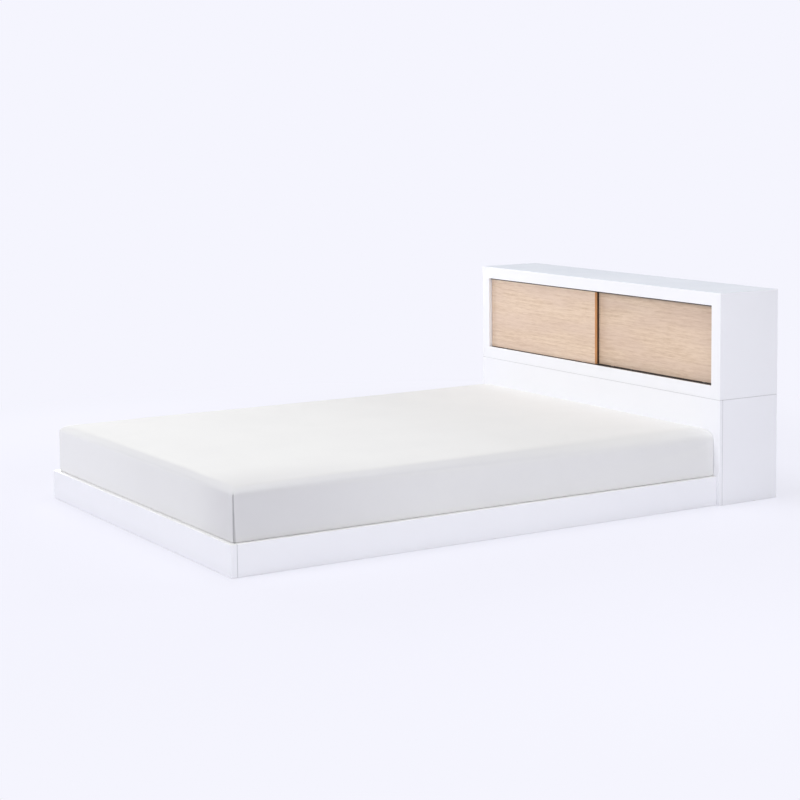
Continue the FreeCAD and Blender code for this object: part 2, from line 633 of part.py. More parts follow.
def make_cabinet():
    """The upper tier: a mitred box of thick hollow boards with a divider and a thin back panel."""
    make_cabinet_boards()
    make_cabinet_joints()
    half = PANEL_BOARD / 2
    pieces["cabinet_divider"] = board(
        (-half, DIVIDER_FRONT_Y, OPENING_BOTTOM), (half, BACK_PANEL_FRONT_Y, OPENING_TOP)
    )
    reach = GROOVE_DEPTH - BACK_END_GAP
    pieces["cabinet_back_panel"] = block(
        (-OPENING_X - reach, BACK_PANEL_FRONT_Y, OPENING_BOTTOM - reach),
        (OPENING_X + reach, BACK_PANEL_REAR_Y, OPENING_TOP + reach),
    )
    for z in evenly(OPENING_BOTTOM, OPENING_TOP, 4)[1:-1]:
        pan_screw((0, BACK_PANEL_REAR_Y, z), -Y_AXIS, ["cabinet_back_panel", "cabinet_divider"])


def cabinet_ring():
    """The whole mitred box before it is parted at the corners, open at the front and back."""
    outside = board((-HEADBOARD_X, HEAD_Y, BASE_HEIGHT), (HEADBOARD_X, BACK_Y, OVERALL_HEIGHT))
    opening = block(
        (-OPENING_X, HEAD_Y - CABINET_BOARD, OPENING_BOTTOM),
        (OPENING_X, BACK_Y + CABINET_BOARD, OPENING_TOP),
    )
    ring = outside.cut(opening)
    rim = [
        edge
        for edge in ring.Edges
        if abs(edge.BoundBox.YMin - HEAD_Y) < EDGE_ROUND / 10
        and abs(edge.BoundBox.YMax - HEAD_Y) < EDGE_ROUND / 10
        and abs(edge.CenterOfMass.x) < OPENING_X + EDGE_ROUND
        and OPENING_BOTTOM - EDGE_ROUND < edge.CenterOfMass.z < OPENING_TOP + EDGE_ROUND
    ]
    return ring.makeFillet(EDGE_ROUND, rim)


def mitre_wedge(corners):
    """The space that one board of the mitred box takes up, from its four (x, z) corners."""
    points = [Vector(x, HEAD_Y - CABINET_BOARD, z) for x, z in corners]
    face = Part.Face(Part.makePolygon(points + points[:1]))
    return face.extrude(Y_AXIS * (HEADBOARD_DEPTH + 2 * CABINET_BOARD))


def make_cabinet_boards():
    """Parts the box at its mitres and hollows each board between its battens."""
    ring = cabinet_ring()
    out_x, in_x = HEADBOARD_X + CABINET_BOARD, OPENING_X - CABINET_BOARD
    out_z = (BASE_HEIGHT - CABINET_BOARD, OVERALL_HEIGHT + CABINET_BOARD)
    in_z = (OPENING_BOTTOM + CABINET_BOARD, OPENING_TOP - CABINET_BOARD)
    wedges = {
        "cabinet_bottom": [(-out_x, out_z[0]), (out_x, out_z[0]), (in_x, in_z[0]), (-in_x, in_z[0])],
        "cabinet_top": [(-out_x, out_z[1]), (out_x, out_z[1]), (in_x, in_z[1]), (-in_x, in_z[1])],
    }
    for side, sign in SIDES.items():
        wedges[f"cabinet_side_{side}"] = [
            (sign * out_x, out_z[0]),
            (sign * out_x, out_z[1]),
            (sign * in_x, in_z[1]),
            (sign * in_x, in_z[0]),
        ]
    for name, corners in wedges.items():
        pieces[name] = ring.common(mitre_wedge(corners))
    for name, base_z in (("cabinet_bottom", BASE_HEIGHT), ("cabinet_top", OPENING_TOP)):
        low_z, high_z = base_z + CABINET_SKIN, base_z + CABINET_BOARD - CABINET_SKIN
        for sign in SIDES.values():
            near, far = sorted((sign * CENTRE_WEB / 2, sign * HEADBOARD_X))
            bore([name], block((near, BATTEN_REAR_Y, low_z), (far, REAR_BATTEN_Y, high_z)))
    for side, sign in SIDES.items():
        near, far = sorted((sign * (OPENING_X + CABINET_SKIN), sign * (HEADBOARD_X - CABINET_SKIN)))
        low, high = (near, BATTEN_REAR_Y, BASE_HEIGHT), (far, REAR_BATTEN_Y, OVERALL_HEIGHT)
        bore([f"cabinet_side_{side}"], block(low, high))
    groove_x = OPENING_X + GROOVE_DEPTH
    bore(
        list(wedges),
        back_groove(-groove_x, groove_x, OPENING_BOTTOM - GROOVE_DEPTH, OPENING_TOP + GROOVE_DEPTH),
    )


def make_cabinet_joints():
    """Dowels across the mitres and into the divider, and the bolts that hold the cabinet to the base."""
    for side, sign in SIDES.items():
        middle_x = sign * (HEADBOARD_X - CABINET_BOARD / 2)
        for name, rise in (("cabinet_bottom", 1), ("cabinet_top", -1)):
            edge_z = BASE_HEIGHT if rise > 0 else OVERALL_HEIGHT
            across = Vector(sign, 0, rise)
            for y in MITRE_DOWELS_Y:
                centre = (middle_x, y, edge_z + rise * CABINET_BOARD / 2)
                dowel(centre, across, [name, f"cabinet_side_{side}"])
        for y in TIER_BOLTS_Y:
            socket_bolt(
                "tier_bolts",
                (sign * (HEADBOARD_X - TIER_BOLT_INSET), y, BASE_TOP_UNDERSIDE),
                Z_AXIS,
                PANEL_BOARD + TIER_BOLT_BITE,
                ["base_top_panel", "cabinet_bottom"],
            )
    for y in (DIVIDER_FRONT_Y + DIVIDER_DOWEL_MARGIN, BACK_PANEL_FRONT_Y - DIVIDER_DOWEL_MARGIN):
        dowel((0, y, OPENING_BOTTOM), Z_AXIS, ["cabinet_divider", "cabinet_bottom"])
        dowel((0, y, OPENING_TOP), Z_AXIS, ["cabinet_divider", "cabinet_top"])


def make_tracks():
    """The two-channel tracks let into the bottom and top of the cabinet, and their screws."""
    reach = OPENING_X - TRACK_END_GAP
    tracks = (
        ("bottom_track", "cabinet_bottom", OPENING_BOTTOM, -1, BOTTOM_CHANNEL_DEPTH),
        ("top_track", "cabinet_top", OPENING_TOP, 1, TOP_CHANNEL_DEPTH),
    )
    web_y = sum(DOOR_CENTRES_Y) / 2
    for name, holder, face_z, away, channel_depth in tracks:
        height = channel_depth + TRACK_FLOOR
        low_z, high_z = sorted((face_z, face_z + away * height))
        rail = block((-reach, TRACK_FRONT_Y, low_z), (reach, TRACK_REAR_Y, high_z))
        channel_low, channel_high = sorted((face_z, face_z + away * channel_depth))
        for y in DOOR_CENTRES_Y:
            near, far = y - CHANNEL_WIDTH / 2, y + CHANNEL_WIDTH / 2
            rail = rail.cut(block((-reach, near, channel_low), (reach, far, channel_high)))
        pieces[name] = rail
        recess_low, recess_high = sorted((face_z, face_z + away * (height + GROOVE_CLEARANCE)))
        bore(
            [holder],
            block(
                (-OPENING_X, TRACK_FRONT_Y - GROOVE_CLEARANCE, recess_low),
                (OPENING_X, TRACK_REAR_Y + GROOVE_CLEARANCE, recess_high),
            ),
        )
        for x in evenly(TRACK_SCREW_INSET - reach, reach - TRACK_SCREW_INSET, TRACK_SCREW_COUNT):
            countersunk_screw(
                "track_screws",
                (x, web_y, face_z),
                Z_AXIS * away,
                SMALL_SCREW_RADIUS,
                SMALL_SCREW_HEAD,
                TRACK_SCREW_LENGTH,
                [name, holder],
            )


def make_door(side, left_x, front_y):
    """One sliding door with its edge bands, rollers and guide pins."""
    rear_y, middle_y = front_y + DOOR_BOARD, front_y + DOOR_BOARD / 2
    right_x = left_x + DOOR_WIDTH
    panel = f"door_{side}_panel"
    pieces[panel] = block(
        (left_x + DOOR_EDGE_BAND, front_y, DOOR_BOTTOM), (right_x - DOOR_EDGE_BAND, rear_y, DOOR_TOP)
    )
    for band_x, outer_x in ((left_x, left_x), (right_x - DOOR_EDGE_BAND, right_x)):
        band = block((band_x, front_y, DOOR_BOTTOM), (band_x + DOOR_EDGE_BAND, rear_y, DOOR_TOP))
        corners = [edge for edge in band.Edges if abs(edge.CenterOfMass.x - outer_x) < DOOR_EDGE_ROUND / 10]
        upright = [edge for edge in corners if edge.BoundBox.ZLength > DOOR_BOARD]
        rounding = min(DOOR_EDGE_ROUND, DOOR_EDGE_BAND * EDGE_BAND_ROUND_LIMIT)
        add_to_group(f"door_{side}_edge_bands", band.makeFillet(rounding, upright))
    for number, x in enumerate((left_x + ROLLER_INSET, right_x - ROLLER_INSET), 1):
        make_roller(side, number, x, middle_y)
        plug = [
            (0, -PIN_PLUG_LENGTH),
            (PIN_PLUG_RADIUS, -PIN_PLUG_LENGTH),
            (PIN_PLUG_RADIUS, 0),
            (PIN_RADIUS, 0),
            (PIN_RADIUS, PIN_RISE - PIN_TIP),
            (PIN_RADIUS - PIN_TIP, PIN_RISE),
            (0, PIN_RISE),
        ]
        top = (x, middle_y, DOOR_TOP)
        add_to_group(f"door_{side}_guide_pins", turned(plug, top, Z_AXIS))
        hole = PIN_PLUG_RADIUS + HOLE_CLEARANCE
        bore([panel], rod(hole, PIN_PLUG_LENGTH + HOLE_CLEARANCE, top, -Z_AXIS))


def make_roller(side, number, x, y):
    """A wheel with stub axles in a housing let into the bottom edge of a door."""
    half_length, half_width = HOUSING_LENGTH / 2, HOUSING_WIDTH / 2
    housing = block(
        (x - half_length, y - half_width, DOOR_BOTTOM),
        (x + half_length, y + half_width, DOOR_BOTTOM + HOUSING_HEIGHT),
    )
    pocket_radius = WHEEL_RADIUS + WHEEL_CLEARANCE
    pocket_half = WHEEL_WIDTH / 2 + WHEEL_SIDE_CLEARANCE
    pocket = block(
        (x - pocket_radius, y - pocket_half, DOOR_BOTTOM),
        (x + pocket_radius, y + pocket_half, WHEEL_CENTRE_Z + pocket_radius),
    )
    hole = AXLE_RADIUS + AXLE_CLEARANCE
    axle_hole = rod(hole, HOUSING_WIDTH, (x, y - half_width, WHEEL_CENTRE_Z), Y_AXIS)
    add_to_group(f"door_{side}_roller_housings", housing.cut([pocket, axle_hole]))
    slack = HOLE_CLEARANCE
    bore(
        [f"door_{side}_panel"],
        block(
            (x - half_length - slack, y - half_width - slack, DOOR_BOTTOM),
            (x + half_length + slack, y + half_width + slack, DOOR_BOTTOM + HOUSING_HEIGHT + slack),
        ),
    )
    rim, stub = WHEEL_WIDTH / 2, half_width - AXLE_END_GAP
    outline = [
        (0, -stub),
        (AXLE_RADIUS, -stub),
        (AXLE_RADIUS, -rim),
        (WHEEL_RADIUS - WHEEL_RIM_ROUND, -rim),
        (WHEEL_RADIUS, WHEEL_RIM_ROUND - rim),
        (WHEEL_RADIUS, rim - WHEEL_RIM_ROUND),
        (WHEEL_RADIUS - WHEEL_RIM_ROUND, rim),
        (AXLE_RADIUS, rim),
        (AXLE_RADIUS, stub),
        (0, stub),
    ]
    pieces[f"door_{side}_wheel_{number}"] = turned(outline, (x, y, WHEEL_CENTRE_Z), Y_AXIS)


def make_doors():
    """The two doors, the left one in front, and the rubber bumpers that they stop against."""
    make_door("left", -DOOR_RUN / 2, FRONT_DOOR_Y)
    make_door("right", DOOR_RUN / 2 - DOOR_WIDTH, REAR_DOOR_Y)
    thickness = DOOR_SIDE_GAP - BUMPER_CLEARANCE
    middle_z = (DOOR_BOTTOM + DOOR_TOP) / 2
    for sign in SIDES.values():
        for y in DOOR_CENTRES_Y:
            seat = (sign * OPENING_X, y, middle_z)
            add_to_group("door_bumpers", rod(BUMPER_RADIUS, thickness, seat, X_AXIS * -sign))


def make_mattress():
    """The mattress as a crowned, round-edged cover closed underneath by a cloth-faced panel."""
    half_width, half_length = MATTRESS_WIDTH / 2, MATTRESS_LENGTH / 2
    low_y = MATTRESS_CENTRE_Y - half_length
    edge_z = MATTRESS_BOTTOM + MATTRESS_HEIGHT
    corners = [
        Vector(half_width, low_y, edge_z),
        Vector(half_width, low_y, MATTRESS_BOTTOM),
        Vector(-half_width, low_y, MATTRESS_BOTTOM),
        Vector(-half_width, low_y, edge_z),
    ]
    crown = Part.Arc(corners[3], Vector(0, low_y, edge_z + MATTRESS_CROWN), corners[0]).toShape()
    walls = [Part.LineSegment(a, b).toShape() for a, b in zip(corners, corners[1:])]
    cover = Part.Face(Part.Wire(walls + [crown])).extrude(Y_AXIS * MATTRESS_LENGTH)
    upright = [edge for edge in cover.Edges if edge.BoundBox.ZLength > MATTRESS_HEIGHT / 2]
    cover = cover.makeFillet(MATTRESS_CORNER_ROUND, upright)
    top_rim = rim_edges(cover, edge_z - MATTRESS_CROWN, edge_z + 2 * MATTRESS_CROWN)
    cover = cover.makeFillet(MATTRESS_TOP_ROUND, top_rim)
    bottom_rim = rim_edges(cover, MATTRESS_BOTTOM - MATTRESS_CROWN, MATTRESS_BOTTOM + MATTRESS_CROWN)
    cover = cover.makeFillet(MATTRESS_BOTTOM_ROUND, bottom_rim)
    inner_x, inner_y = half_width - MATTRESS_WALL, half_length - MATTRESS_WALL
    hollow = block(
        (-inner_x, MATTRESS_CENTRE_Y - inner_y, MATTRESS_BOTTOM),
        (inner_x, MATTRESS_CENTRE_Y + inner_y, edge_z - MATTRESS_WALL),
    )
    pieces["mattress_cover"] = cover.cut(hollow)
    pieces["mattress_underside"] = block(
        (-inner_x, MATTRESS_CENTRE_Y - inner_y, MATTRESS_BOTTOM),
        (inner_x, MATTRESS_CENTRE_Y + inner_y, MATTRESS_BOTTOM + MATTRESS_BASE_CLOTH),
    )


def rim_edges(shape, low_z, high_z):
    """The edges that lie wholly between two heights."""
    return [edge for edge in shape.Edges if edge.BoundBox.ZMin > low_z and edge.BoundBox.ZMax < high_z]


def finished(name):
    """A piece with its holes and grooves cut, as one shape."""
    shape = pieces[name]
    solids = shape if isinstance(shape, list) else shape.Solids
    tools = bores.get(name)
    if tools:
        solids = [part for solid in solids for part in solid.cut(tools).Solids]
    return solids[0] if len(solids) == 1 else Part.makeCompound(solids)


def main():
    make_bed_rails()
    make_ledgers()
    make_slats()
    make_centre_beam()
    make_corner_brackets()
    make_base()
    make_cabinet()
    make_tracks()
    make_doors()
    make_mattress()
    os.makedirs("parts", exist_ok=True)
    for name in pieces:
        finished(name).exportStep(os.path.join("parts", name + ".step"))
    print(len(pieces), "nodes; door travel", DOOR_TRAVEL, "mm; overall length", OVERALL_LENGTH, "mm")


if __name__ == "__main__":
    main()
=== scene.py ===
import math

import bmesh
import bpy
from mathutils import Matrix, Vector


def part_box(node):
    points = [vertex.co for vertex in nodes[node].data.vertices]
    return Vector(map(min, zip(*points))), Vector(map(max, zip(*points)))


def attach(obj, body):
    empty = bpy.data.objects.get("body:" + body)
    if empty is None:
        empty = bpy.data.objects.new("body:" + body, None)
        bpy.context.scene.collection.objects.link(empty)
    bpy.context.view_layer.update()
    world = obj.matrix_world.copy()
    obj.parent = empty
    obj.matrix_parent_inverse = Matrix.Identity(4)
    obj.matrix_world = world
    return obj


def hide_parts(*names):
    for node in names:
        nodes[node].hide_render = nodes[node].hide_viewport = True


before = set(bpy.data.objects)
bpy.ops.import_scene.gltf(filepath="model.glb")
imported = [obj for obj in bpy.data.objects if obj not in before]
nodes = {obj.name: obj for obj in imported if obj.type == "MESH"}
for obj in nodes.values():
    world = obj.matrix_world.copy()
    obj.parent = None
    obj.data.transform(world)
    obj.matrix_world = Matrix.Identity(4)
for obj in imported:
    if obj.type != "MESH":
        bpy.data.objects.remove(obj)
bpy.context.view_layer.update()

# Lengths are in metres, in the part's own frame: +X to the right of the bed, +Y to the head, +Z up.
MM = 0.001


# Colours, and steps that the node trees are made of.

def linear(red, green, blue):
    """A colour as a painter reads it from a screen, 0 to 255, as the linear numbers a shader takes."""
    def one(level):
        share = level / 255
        if share <= 0.04045:
            return share / 12.92
        return ((share + 0.055) / 1.055) ** 2.4
    return (one(red), one(green), one(blue), 1.0)


def sum_of(tree, operation, first, second=0.0):
    """One arithmetic step on a socket or number, or between two of them."""
    step = tree.nodes.new("ShaderNodeMath")
    step.operation = operation
    for place, value in enumerate((first, second)):
        if isinstance(value, (int, float)):
            step.inputs[place].default_value = value
        else:
            tree.links.new(value, step.inputs[place])
    return step.outputs[0]


def spread(tree, value, low, high, new_low=0.0, new_high=1.0):
    """Takes a value from one range to another, held at the ends."""
    step = tree.nodes.new("ShaderNodeMapRange")
    step.interpolation_type = "SMOOTHSTEP"
    step.inputs["From Min"].default_value = low
    step.inputs["From Max"].default_value = high
    step.inputs["To Min"].default_value = new_low
    step.inputs["To Max"].default_value = new_high
    tree.links.new(value, step.inputs["Value"])
    return step.outputs["Result"]


def mix_colours(tree, share, first, second):
    """Two colours, or sockets, mixed by a share."""
    step = tree.nodes.new("ShaderNodeMix")
    step.data_type = "RGBA"
    ends = [socket for socket in step.inputs if socket.type == "RGBA"]
    for socket, value in zip(ends, (first, second)):
        if isinstance(value, (tuple, list)):
            socket.default_value = value
        else:
            tree.links.new(value, socket)
    amount = [socket for socket in step.inputs if socket.type == "VALUE"][0]
    if isinstance(share, (int, float)):
        amount.default_value = share
    else:
        tree.links.new(share, amount)
    return [socket for socket in step.outputs if socket.type == "RGBA"][0]


def stretch(tree, vector, scale):
    """A pattern's place, stretched along each axis."""
    step = tree.nodes.new("ShaderNodeMapping")
    step.inputs["Scale"].default_value = scale
    tree.links.new(vector, step.inputs["Vector"])
    return step.outputs["Vector"]


def turn_pattern(tree, vector, rotation):
    """A pattern's place, turned about each axis."""
    step = tree.nodes.new("ShaderNodeMapping")
    step.inputs["Rotation"].default_value = rotation
    tree.links.new(vector, step.inputs["Vector"])
    return step.outputs["Vector"]


def axes(tree, vector):
    """The X, Y and Z of a vector, by name."""
    step = tree.nodes.new("ShaderNodeSeparateXYZ")
    tree.links.new(vector, step.inputs[0])
    return step.outputs


def distance(tree, vector):
    """How far a place lies from its origin."""
    step = tree.nodes.new("ShaderNodeVectorMath")
    step.operation = "LENGTH"
    tree.links.new(vector, step.inputs[0])
    return step.outputs["Value"]


def cloud(tree, vector, scale, detail, roughness, warp=0.0):
    """Soft noise at a number of patches per metre."""
    step = tree.nodes.new("ShaderNodeTexNoise")
    if isinstance(scale, (int, float)):
        step.inputs["Scale"].default_value = scale
    else:
        tree.links.new(scale, step.inputs["Scale"])
    step.inputs["Detail"].default_value = detail
    step.inputs["Roughness"].default_value = roughness
    step.inputs["Distortion"].default_value = warp
    tree.links.new(vector, step.inputs["Vector"])
    return step.outputs["Fac"]


# Camera, floor and light.

def place_camera():
    """The photograph's place: beyond the foot, to the right, a little above the headboard."""
    lens = 85.33
    sensor = 36.0
    picture_shift = -0.12
    far_limit = 200.0
    stand = (6.164, -3.800, 1.490)
    turn = math.radians(58.621)
    tilt_down = math.radians(5.795)
    lean = math.radians(-0.591)
    bpy.ops.object.select_all(action="DESELECT")
    bpy.ops.object.camera_add()
    camera = bpy.context.object
    camera.name = "photo_camera"
    camera.data.lens = lens
    camera.data.sensor_width = sensor
    camera.data.shift_y = picture_shift
    camera.data.clip_end = far_limit
    aim = Matrix.Rotation(turn, 4, "Z")
    aim = aim @ Matrix.Rotation(math.pi / 2 - tilt_down, 4, "X")
    aim = aim @ Matrix.Rotation(lean, 4, "Z")
    camera.matrix_world = Matrix.Translation(stand) @ aim
    bpy.context.scene.camera = camera


PAPER = linear(245, 245, 254)


def seen_directly(tree):
    """1 for rays from the camera, a reflection or a clear piece, 0 for those that light the bed."""
    rays = tree.nodes.new("ShaderNodeLightPath")
    either = sum_of(tree, "MAXIMUM", rays.outputs["Is Camera Ray"], rays.outputs["Is Glossy Ray"])
    return sum_of(tree, "MAXIMUM", either, rays.outputs["Is Transmission Ray"])


def light_the_room():
    """A pale room: even soft light from all round, with the paper colour behind the bed."""
    room_light = (1.0, 0.995, 0.99, 1.0)
    room_strength = 0.215
    paper_strength = 1.0
    world = bpy.data.worlds.new("studio")
    bpy.context.scene.world = world
    world.use_nodes = True
    tree = world.node_tree
    even = tree.nodes["Background"]
    even.inputs["Color"].default_value = room_light
    even.inputs["Strength"].default_value = room_strength
    paper = tree.nodes.new("ShaderNodeBackground")
    paper.inputs["Color"].default_value = PAPER
    paper.inputs["Strength"].default_value = paper_strength
    choose = tree.nodes.new("ShaderNodeMixShader")
    tree.links.new(seen_directly(tree), choose.inputs[0])
    tree.links.new(even.outputs[0], choose.inputs[1])
    tree.links.new(paper.outputs[0], choose.inputs[2])
    tree.links.new(choose.outputs[0], tree.nodes["World Output"].inputs["Surface"])


def hang_lamp(name, place, target, width, power):
    """One large soft square lamp, turned towards a point on the bed."""
    bpy.ops.object.select_all(action="DESELECT")
    bpy.ops.object.light_add(type="AREA", location=place)
    lamp = bpy.context.object
    lamp.name = name
    lamp.data.shape = "SQUARE"
    lamp.data.size = width
    lamp.data.energy = power
    towards = Vector(target) - Vector(place)
    lamp.rotation_euler = towards.to_track_quat("-Z", "Y").to_euler()


def pale_floor():
    """A floor that keeps the bed's shadow near the bed and is plain paper colour further off."""
    floor_colour = (0.79, 0.79, 0.885, 1.0)
    paper_strength = 1.0
    paper_share = 0.70
    shadow_reach = 1.7
    plain_from = 3.2
    material = bpy.data.materials.new("pale_floor")
    material.use_nodes = True
    tree = material.node_tree
    tree.nodes.remove(tree.nodes["Principled BSDF"])
    matt = tree.nodes.new("ShaderNodeBsdfDiffuse")
    matt.inputs["Color"].default_value = floor_colour
    glow = tree.nodes.new("ShaderNodeEmission")
    glow.inputs["Color"].default_value = PAPER
    glow.inputs["Strength"].default_value = paper_strength
    spot = tree.nodes.new("ShaderNodeTexCoord")
    away = distance(tree, spot.outputs["Object"])
    plain = spread(tree, away, shadow_reach, plain_from, paper_share, 1.0)
    share = sum_of(tree, "MULTIPLY", seen_directly(tree), plain)
    blend = tree.nodes.new("ShaderNodeMixShader")
    tree.links.new(share, blend.inputs[0])
    tree.links.new(matt.outputs[0], blend.inputs[1])
    tree.links.new(glow.outputs[0], blend.inputs[2])
    tree.links.new(blend.outputs[0], tree.nodes["Material Output"].inputs["Surface"])
    return material


def lay_floor():
    """A wide floor under the bed."""
    half_width = 60.0
    bpy.ops.object.select_all(action="DESELECT")
    bpy.ops.mesh.primitive_plane_add(size=2 * half_width, location=(0, 0, 0))
    floor = bpy.context.object
    floor.name = "studio_floor"
    floor.data.materials.append(pale_floor())


# Effects that several finishes share, each a node group.

def new_effect(name, takes, gives):
    """An empty effect with its named inputs and outputs."""
    tree = bpy.data.node_groups.new(name, "ShaderNodeTree")
    for title, kind, value in takes:
        socket = tree.interface.new_socket(title, in_out="INPUT", socket_type=kind)
        if value is not None:
            socket.default_value = value
    for title, kind in gives:
        tree.interface.new_socket(title, in_out="OUTPUT", socket_type=kind)
    entry = tree.nodes.new("NodeGroupInput")
    leave = tree.nodes.new("NodeGroupOutput")
    return tree, entry, leave


def make_haze():
    """Faint uneven tone, as handling and light dust leave on a smooth finish."""
    takes = [
        ("Vector", "NodeSocketVector", None),
        ("Patches", "NodeSocketFloat", 6.0),
        ("Clean", "NodeSocketColor", (0.9, 0.9, 0.9, 1.0)),
        ("Hazed", "NodeSocketColor", (0.8, 0.8, 0.8, 1.0)),
    ]
    gives = [("Color", "NodeSocketColor"), ("Mask", "NodeSocketFloat")]
    tree, entry, leave = new_effect("haze", takes, gives)
    broad = cloud(tree, entry.outputs["Vector"], entry.outputs["Patches"], detail=4.0, roughness=0.6)
    mask = spread(tree, broad, 0.35, 0.7)
    tint = mix_colours(tree, mask, entry.outputs["Clean"], entry.outputs["Hazed"])
    tree.links.new(tint, leave.inputs["Color"])
    tree.links.new(mask, leave.inputs["Mask"])
    return tree


def make_arris():
    """Marks a squared board's rounded edges, where the surface faces none of the three main ways."""
    takes = [("Normal", "NodeSocketVector", None)]
    gives = [("Mask", "NodeSocketFloat")]
    tree, entry, leave = new_effect("arris", takes, gives)
    size = tree.nodes.new("ShaderNodeVectorMath")
    size.operation = "ABSOLUTE"
    tree.links.new(entry.outputs["Normal"], size.inputs[0])
    parts = axes(tree, size.outputs[0])
    across = sum_of(tree, "MAXIMUM", parts["X"], parts["Y"])
    most = sum_of(tree, "MAXIMUM", across, parts["Z"])
    mask = spread(tree, most, 0.90, 0.995, 1.0, 0.0)
    tree.links.new(mask, leave.inputs["Mask"])
    return tree


def make_timber():
    """Wood that runs along X: broad growth bands, fine streaks and short dark pores."""
    takes = [
        ("Vector", "NodeSocketVector", None),
        ("Pale", "NodeSocketColor", (0.8, 0.6, 0.4, 1.0)),
        ("Dark", "NodeSocketColor", (0.6, 0.4, 0.3, 1.0)),
        ("Pore", "NodeSocketColor", (0.4, 0.3, 0.2, 1.0)),
        ("Bands", "NodeSocketFloat", 1.0),
        ("Pore Share", "NodeSocketFloat", 0.5),
    ]
    gives = [("Color", "NodeSocketColor"), ("Tone", "NodeSocketFloat"), ("Pores", "NodeSocketFloat")]
    tree, entry, leave = new_effect("timber", takes, gives)
    place = entry.outputs["Vector"]
    growth = tree.nodes.new("ShaderNodeTexWave")
    growth.wave_type = "BANDS"
    growth.bands_direction = "Z"
    growth.inputs["Scale"].default_value = 16.0
    growth.inputs["Distortion"].default_value = 5.0
    growth.inputs["Detail"].default_value = 3.0
    growth.inputs["Detail Scale"].default_value = 1.2
    tree.links.new(stretch(tree, place, (0.10, 1.0, 1.0)), growth.inputs["Vector"])
    bands = sum_of(tree, "MULTIPLY", growth.outputs["Fac"], entry.outputs["Bands"])
    long_lines = stretch(tree, place, (1.5, 44.0, 44.0))
    streaks = cloud(tree, long_lines, 3.0, detail=6.0, roughness=0.8, warp=0.3)
    flecks = cloud(tree, stretch(tree, place, (7.0, 78.0, 78.0)), 3.0, detail=3.0, roughness=0.7)
    slow = cloud(tree, stretch(tree, place, (1.2, 5.0, 5.0)), 2.0, detail=3.0, roughness=0.5)
    tone = sum_of(tree, "MULTIPLY", streaks, 0.55)
    for pattern, share in ((slow, 0.20), (flecks, 0.50), (bands, 0.05)):
        tone = sum_of(tree, "ADD", tone, sum_of(tree, "MULTIPLY", pattern, share))
    tone = spread(tree, tone, 0.50, 0.96)
    dashes = cloud(tree, stretch(tree, place, (14.0, 480.0, 480.0)), 3.0, detail=2.0, roughness=0.5)
    pores = spread(tree, dashes, 0.60, 0.74)
    pores = sum_of(tree, "MULTIPLY", pores, entry.outputs["Pore Share"])
    wood = mix_colours(tree, tone, entry.outputs["Pale"], entry.outputs["Dark"])
    wood = mix_colours(tree, pores, wood, entry.outputs["Pore"])
    tree.links.new(wood, leave.inputs["Color"])
    tree.links.new(tone, leave.inputs["Tone"])
    tree.links.new(pores, leave.inputs["Pores"])
    return tree


def make_knit():
    """A fine stretch knit: small loops in rows, the same size on the top and on the sides."""
    takes = [("Vector", "NodeSocketVector", None), ("Loops", "NodeSocketFloat", 520.0)]
    gives = [("Height", "NodeSocketFloat"), ("Shade", "NodeSocketFloat")]
    tree, entry, leave = new_effect("knit", takes, gives)
    grow = tree.nodes.new("ShaderNodeVectorMath")
    grow.operation = "SCALE"
    tree.links.new(entry.outputs["Vector"], grow.inputs[0])
    tree.links.new(entry.outputs["Loops"], grow.inputs["Scale"])
    parts = axes(tree, grow.outputs[0])
    rows = sum_of(tree, "SINE", sum_of(tree, "ADD", parts["Y"], parts["Z"]))
    columns = sum_of(tree, "SINE", sum_of(tree, "ADD", parts["X"], parts["Z"]))
    loops = sum_of(tree, "MULTIPLY", rows, columns)
    fuzz = cloud(tree, entry.outputs["Vector"], 900.0, detail=2.0, roughness=0.6)
    height = sum_of(tree, "ADD", sum_of(tree, "MULTIPLY", loops, 0.35), fuzz)
    # Shade is painted shade: darkest where the knit lies lowest, between its loops.
    shade = spread(tree, height, 0.0, 1.0)
    tree.links.new(height, leave.inputs["Height"])
    tree.links.new(shade, leave.inputs["Shade"])
    return tree


HAZE = make_haze()
ARRIS = make_arris()
TIMBER = make_timber()
KNIT = make_knit()


# Finishes.

def new_finish(name, roughness, specular=0.5):
    """A new material with its shader, and the place on the object that its patterns read."""
    material = bpy.data.materials.new(name)
    material.use_nodes = True
    tree = material.node_tree
    shader = tree.nodes["Principled BSDF"]
    shader.inputs["Roughness"].default_value = roughness
    shader.inputs["Specular IOR Level"].default_value = specular
    place = tree.nodes.new("ShaderNodeTexCoord")
    return material, tree, shader, place


def use_effect(tree, effect, **feeds):
    """Places a shared effect in a finish. Spaces in socket names are written as underscores."""
    step = tree.nodes.new("ShaderNodeGroup")
    step.node_tree = effect
    for title, value in feeds.items():
        socket = step.inputs[title.replace("_", " ")]
        if isinstance(value, (int, float, tuple)):
            socket.default_value = value
        else:
            tree.links.new(value, socket)
    return step


def raise_surface(tree, shader, height, depth, strength):
    """Small relief from a height pattern, in metres."""
    bump = tree.nodes.new("ShaderNodeBump")
    bump.inputs["Strength"].default_value = strength
    bump.inputs["Distance"].default_value = depth
    tree.links.new(height, bump.inputs["Height"])
    tree.links.new(bump.outputs["Normal"], shader.inputs["Normal"])


def joint_line(tree, at, axis, place):
    """A narrow line along a joint between two boards, where the place on one axis is the joint's."""
    line_width = 2.2 * MM
    away = sum_of(tree, "ABSOLUTE", sum_of(tree, "SUBTRACT", axes(tree, at)[axis], place))
    return spread(tree, away, 0.3 * line_width, line_width, 1.0, 0.0)


def upward_share(tree, place, low, high):
    """How far a surface faces up: 0 on upright faces, 1 on level ones."""
    return spread(tree, axes(tree, place.outputs["Normal"])["Z"], low, high)


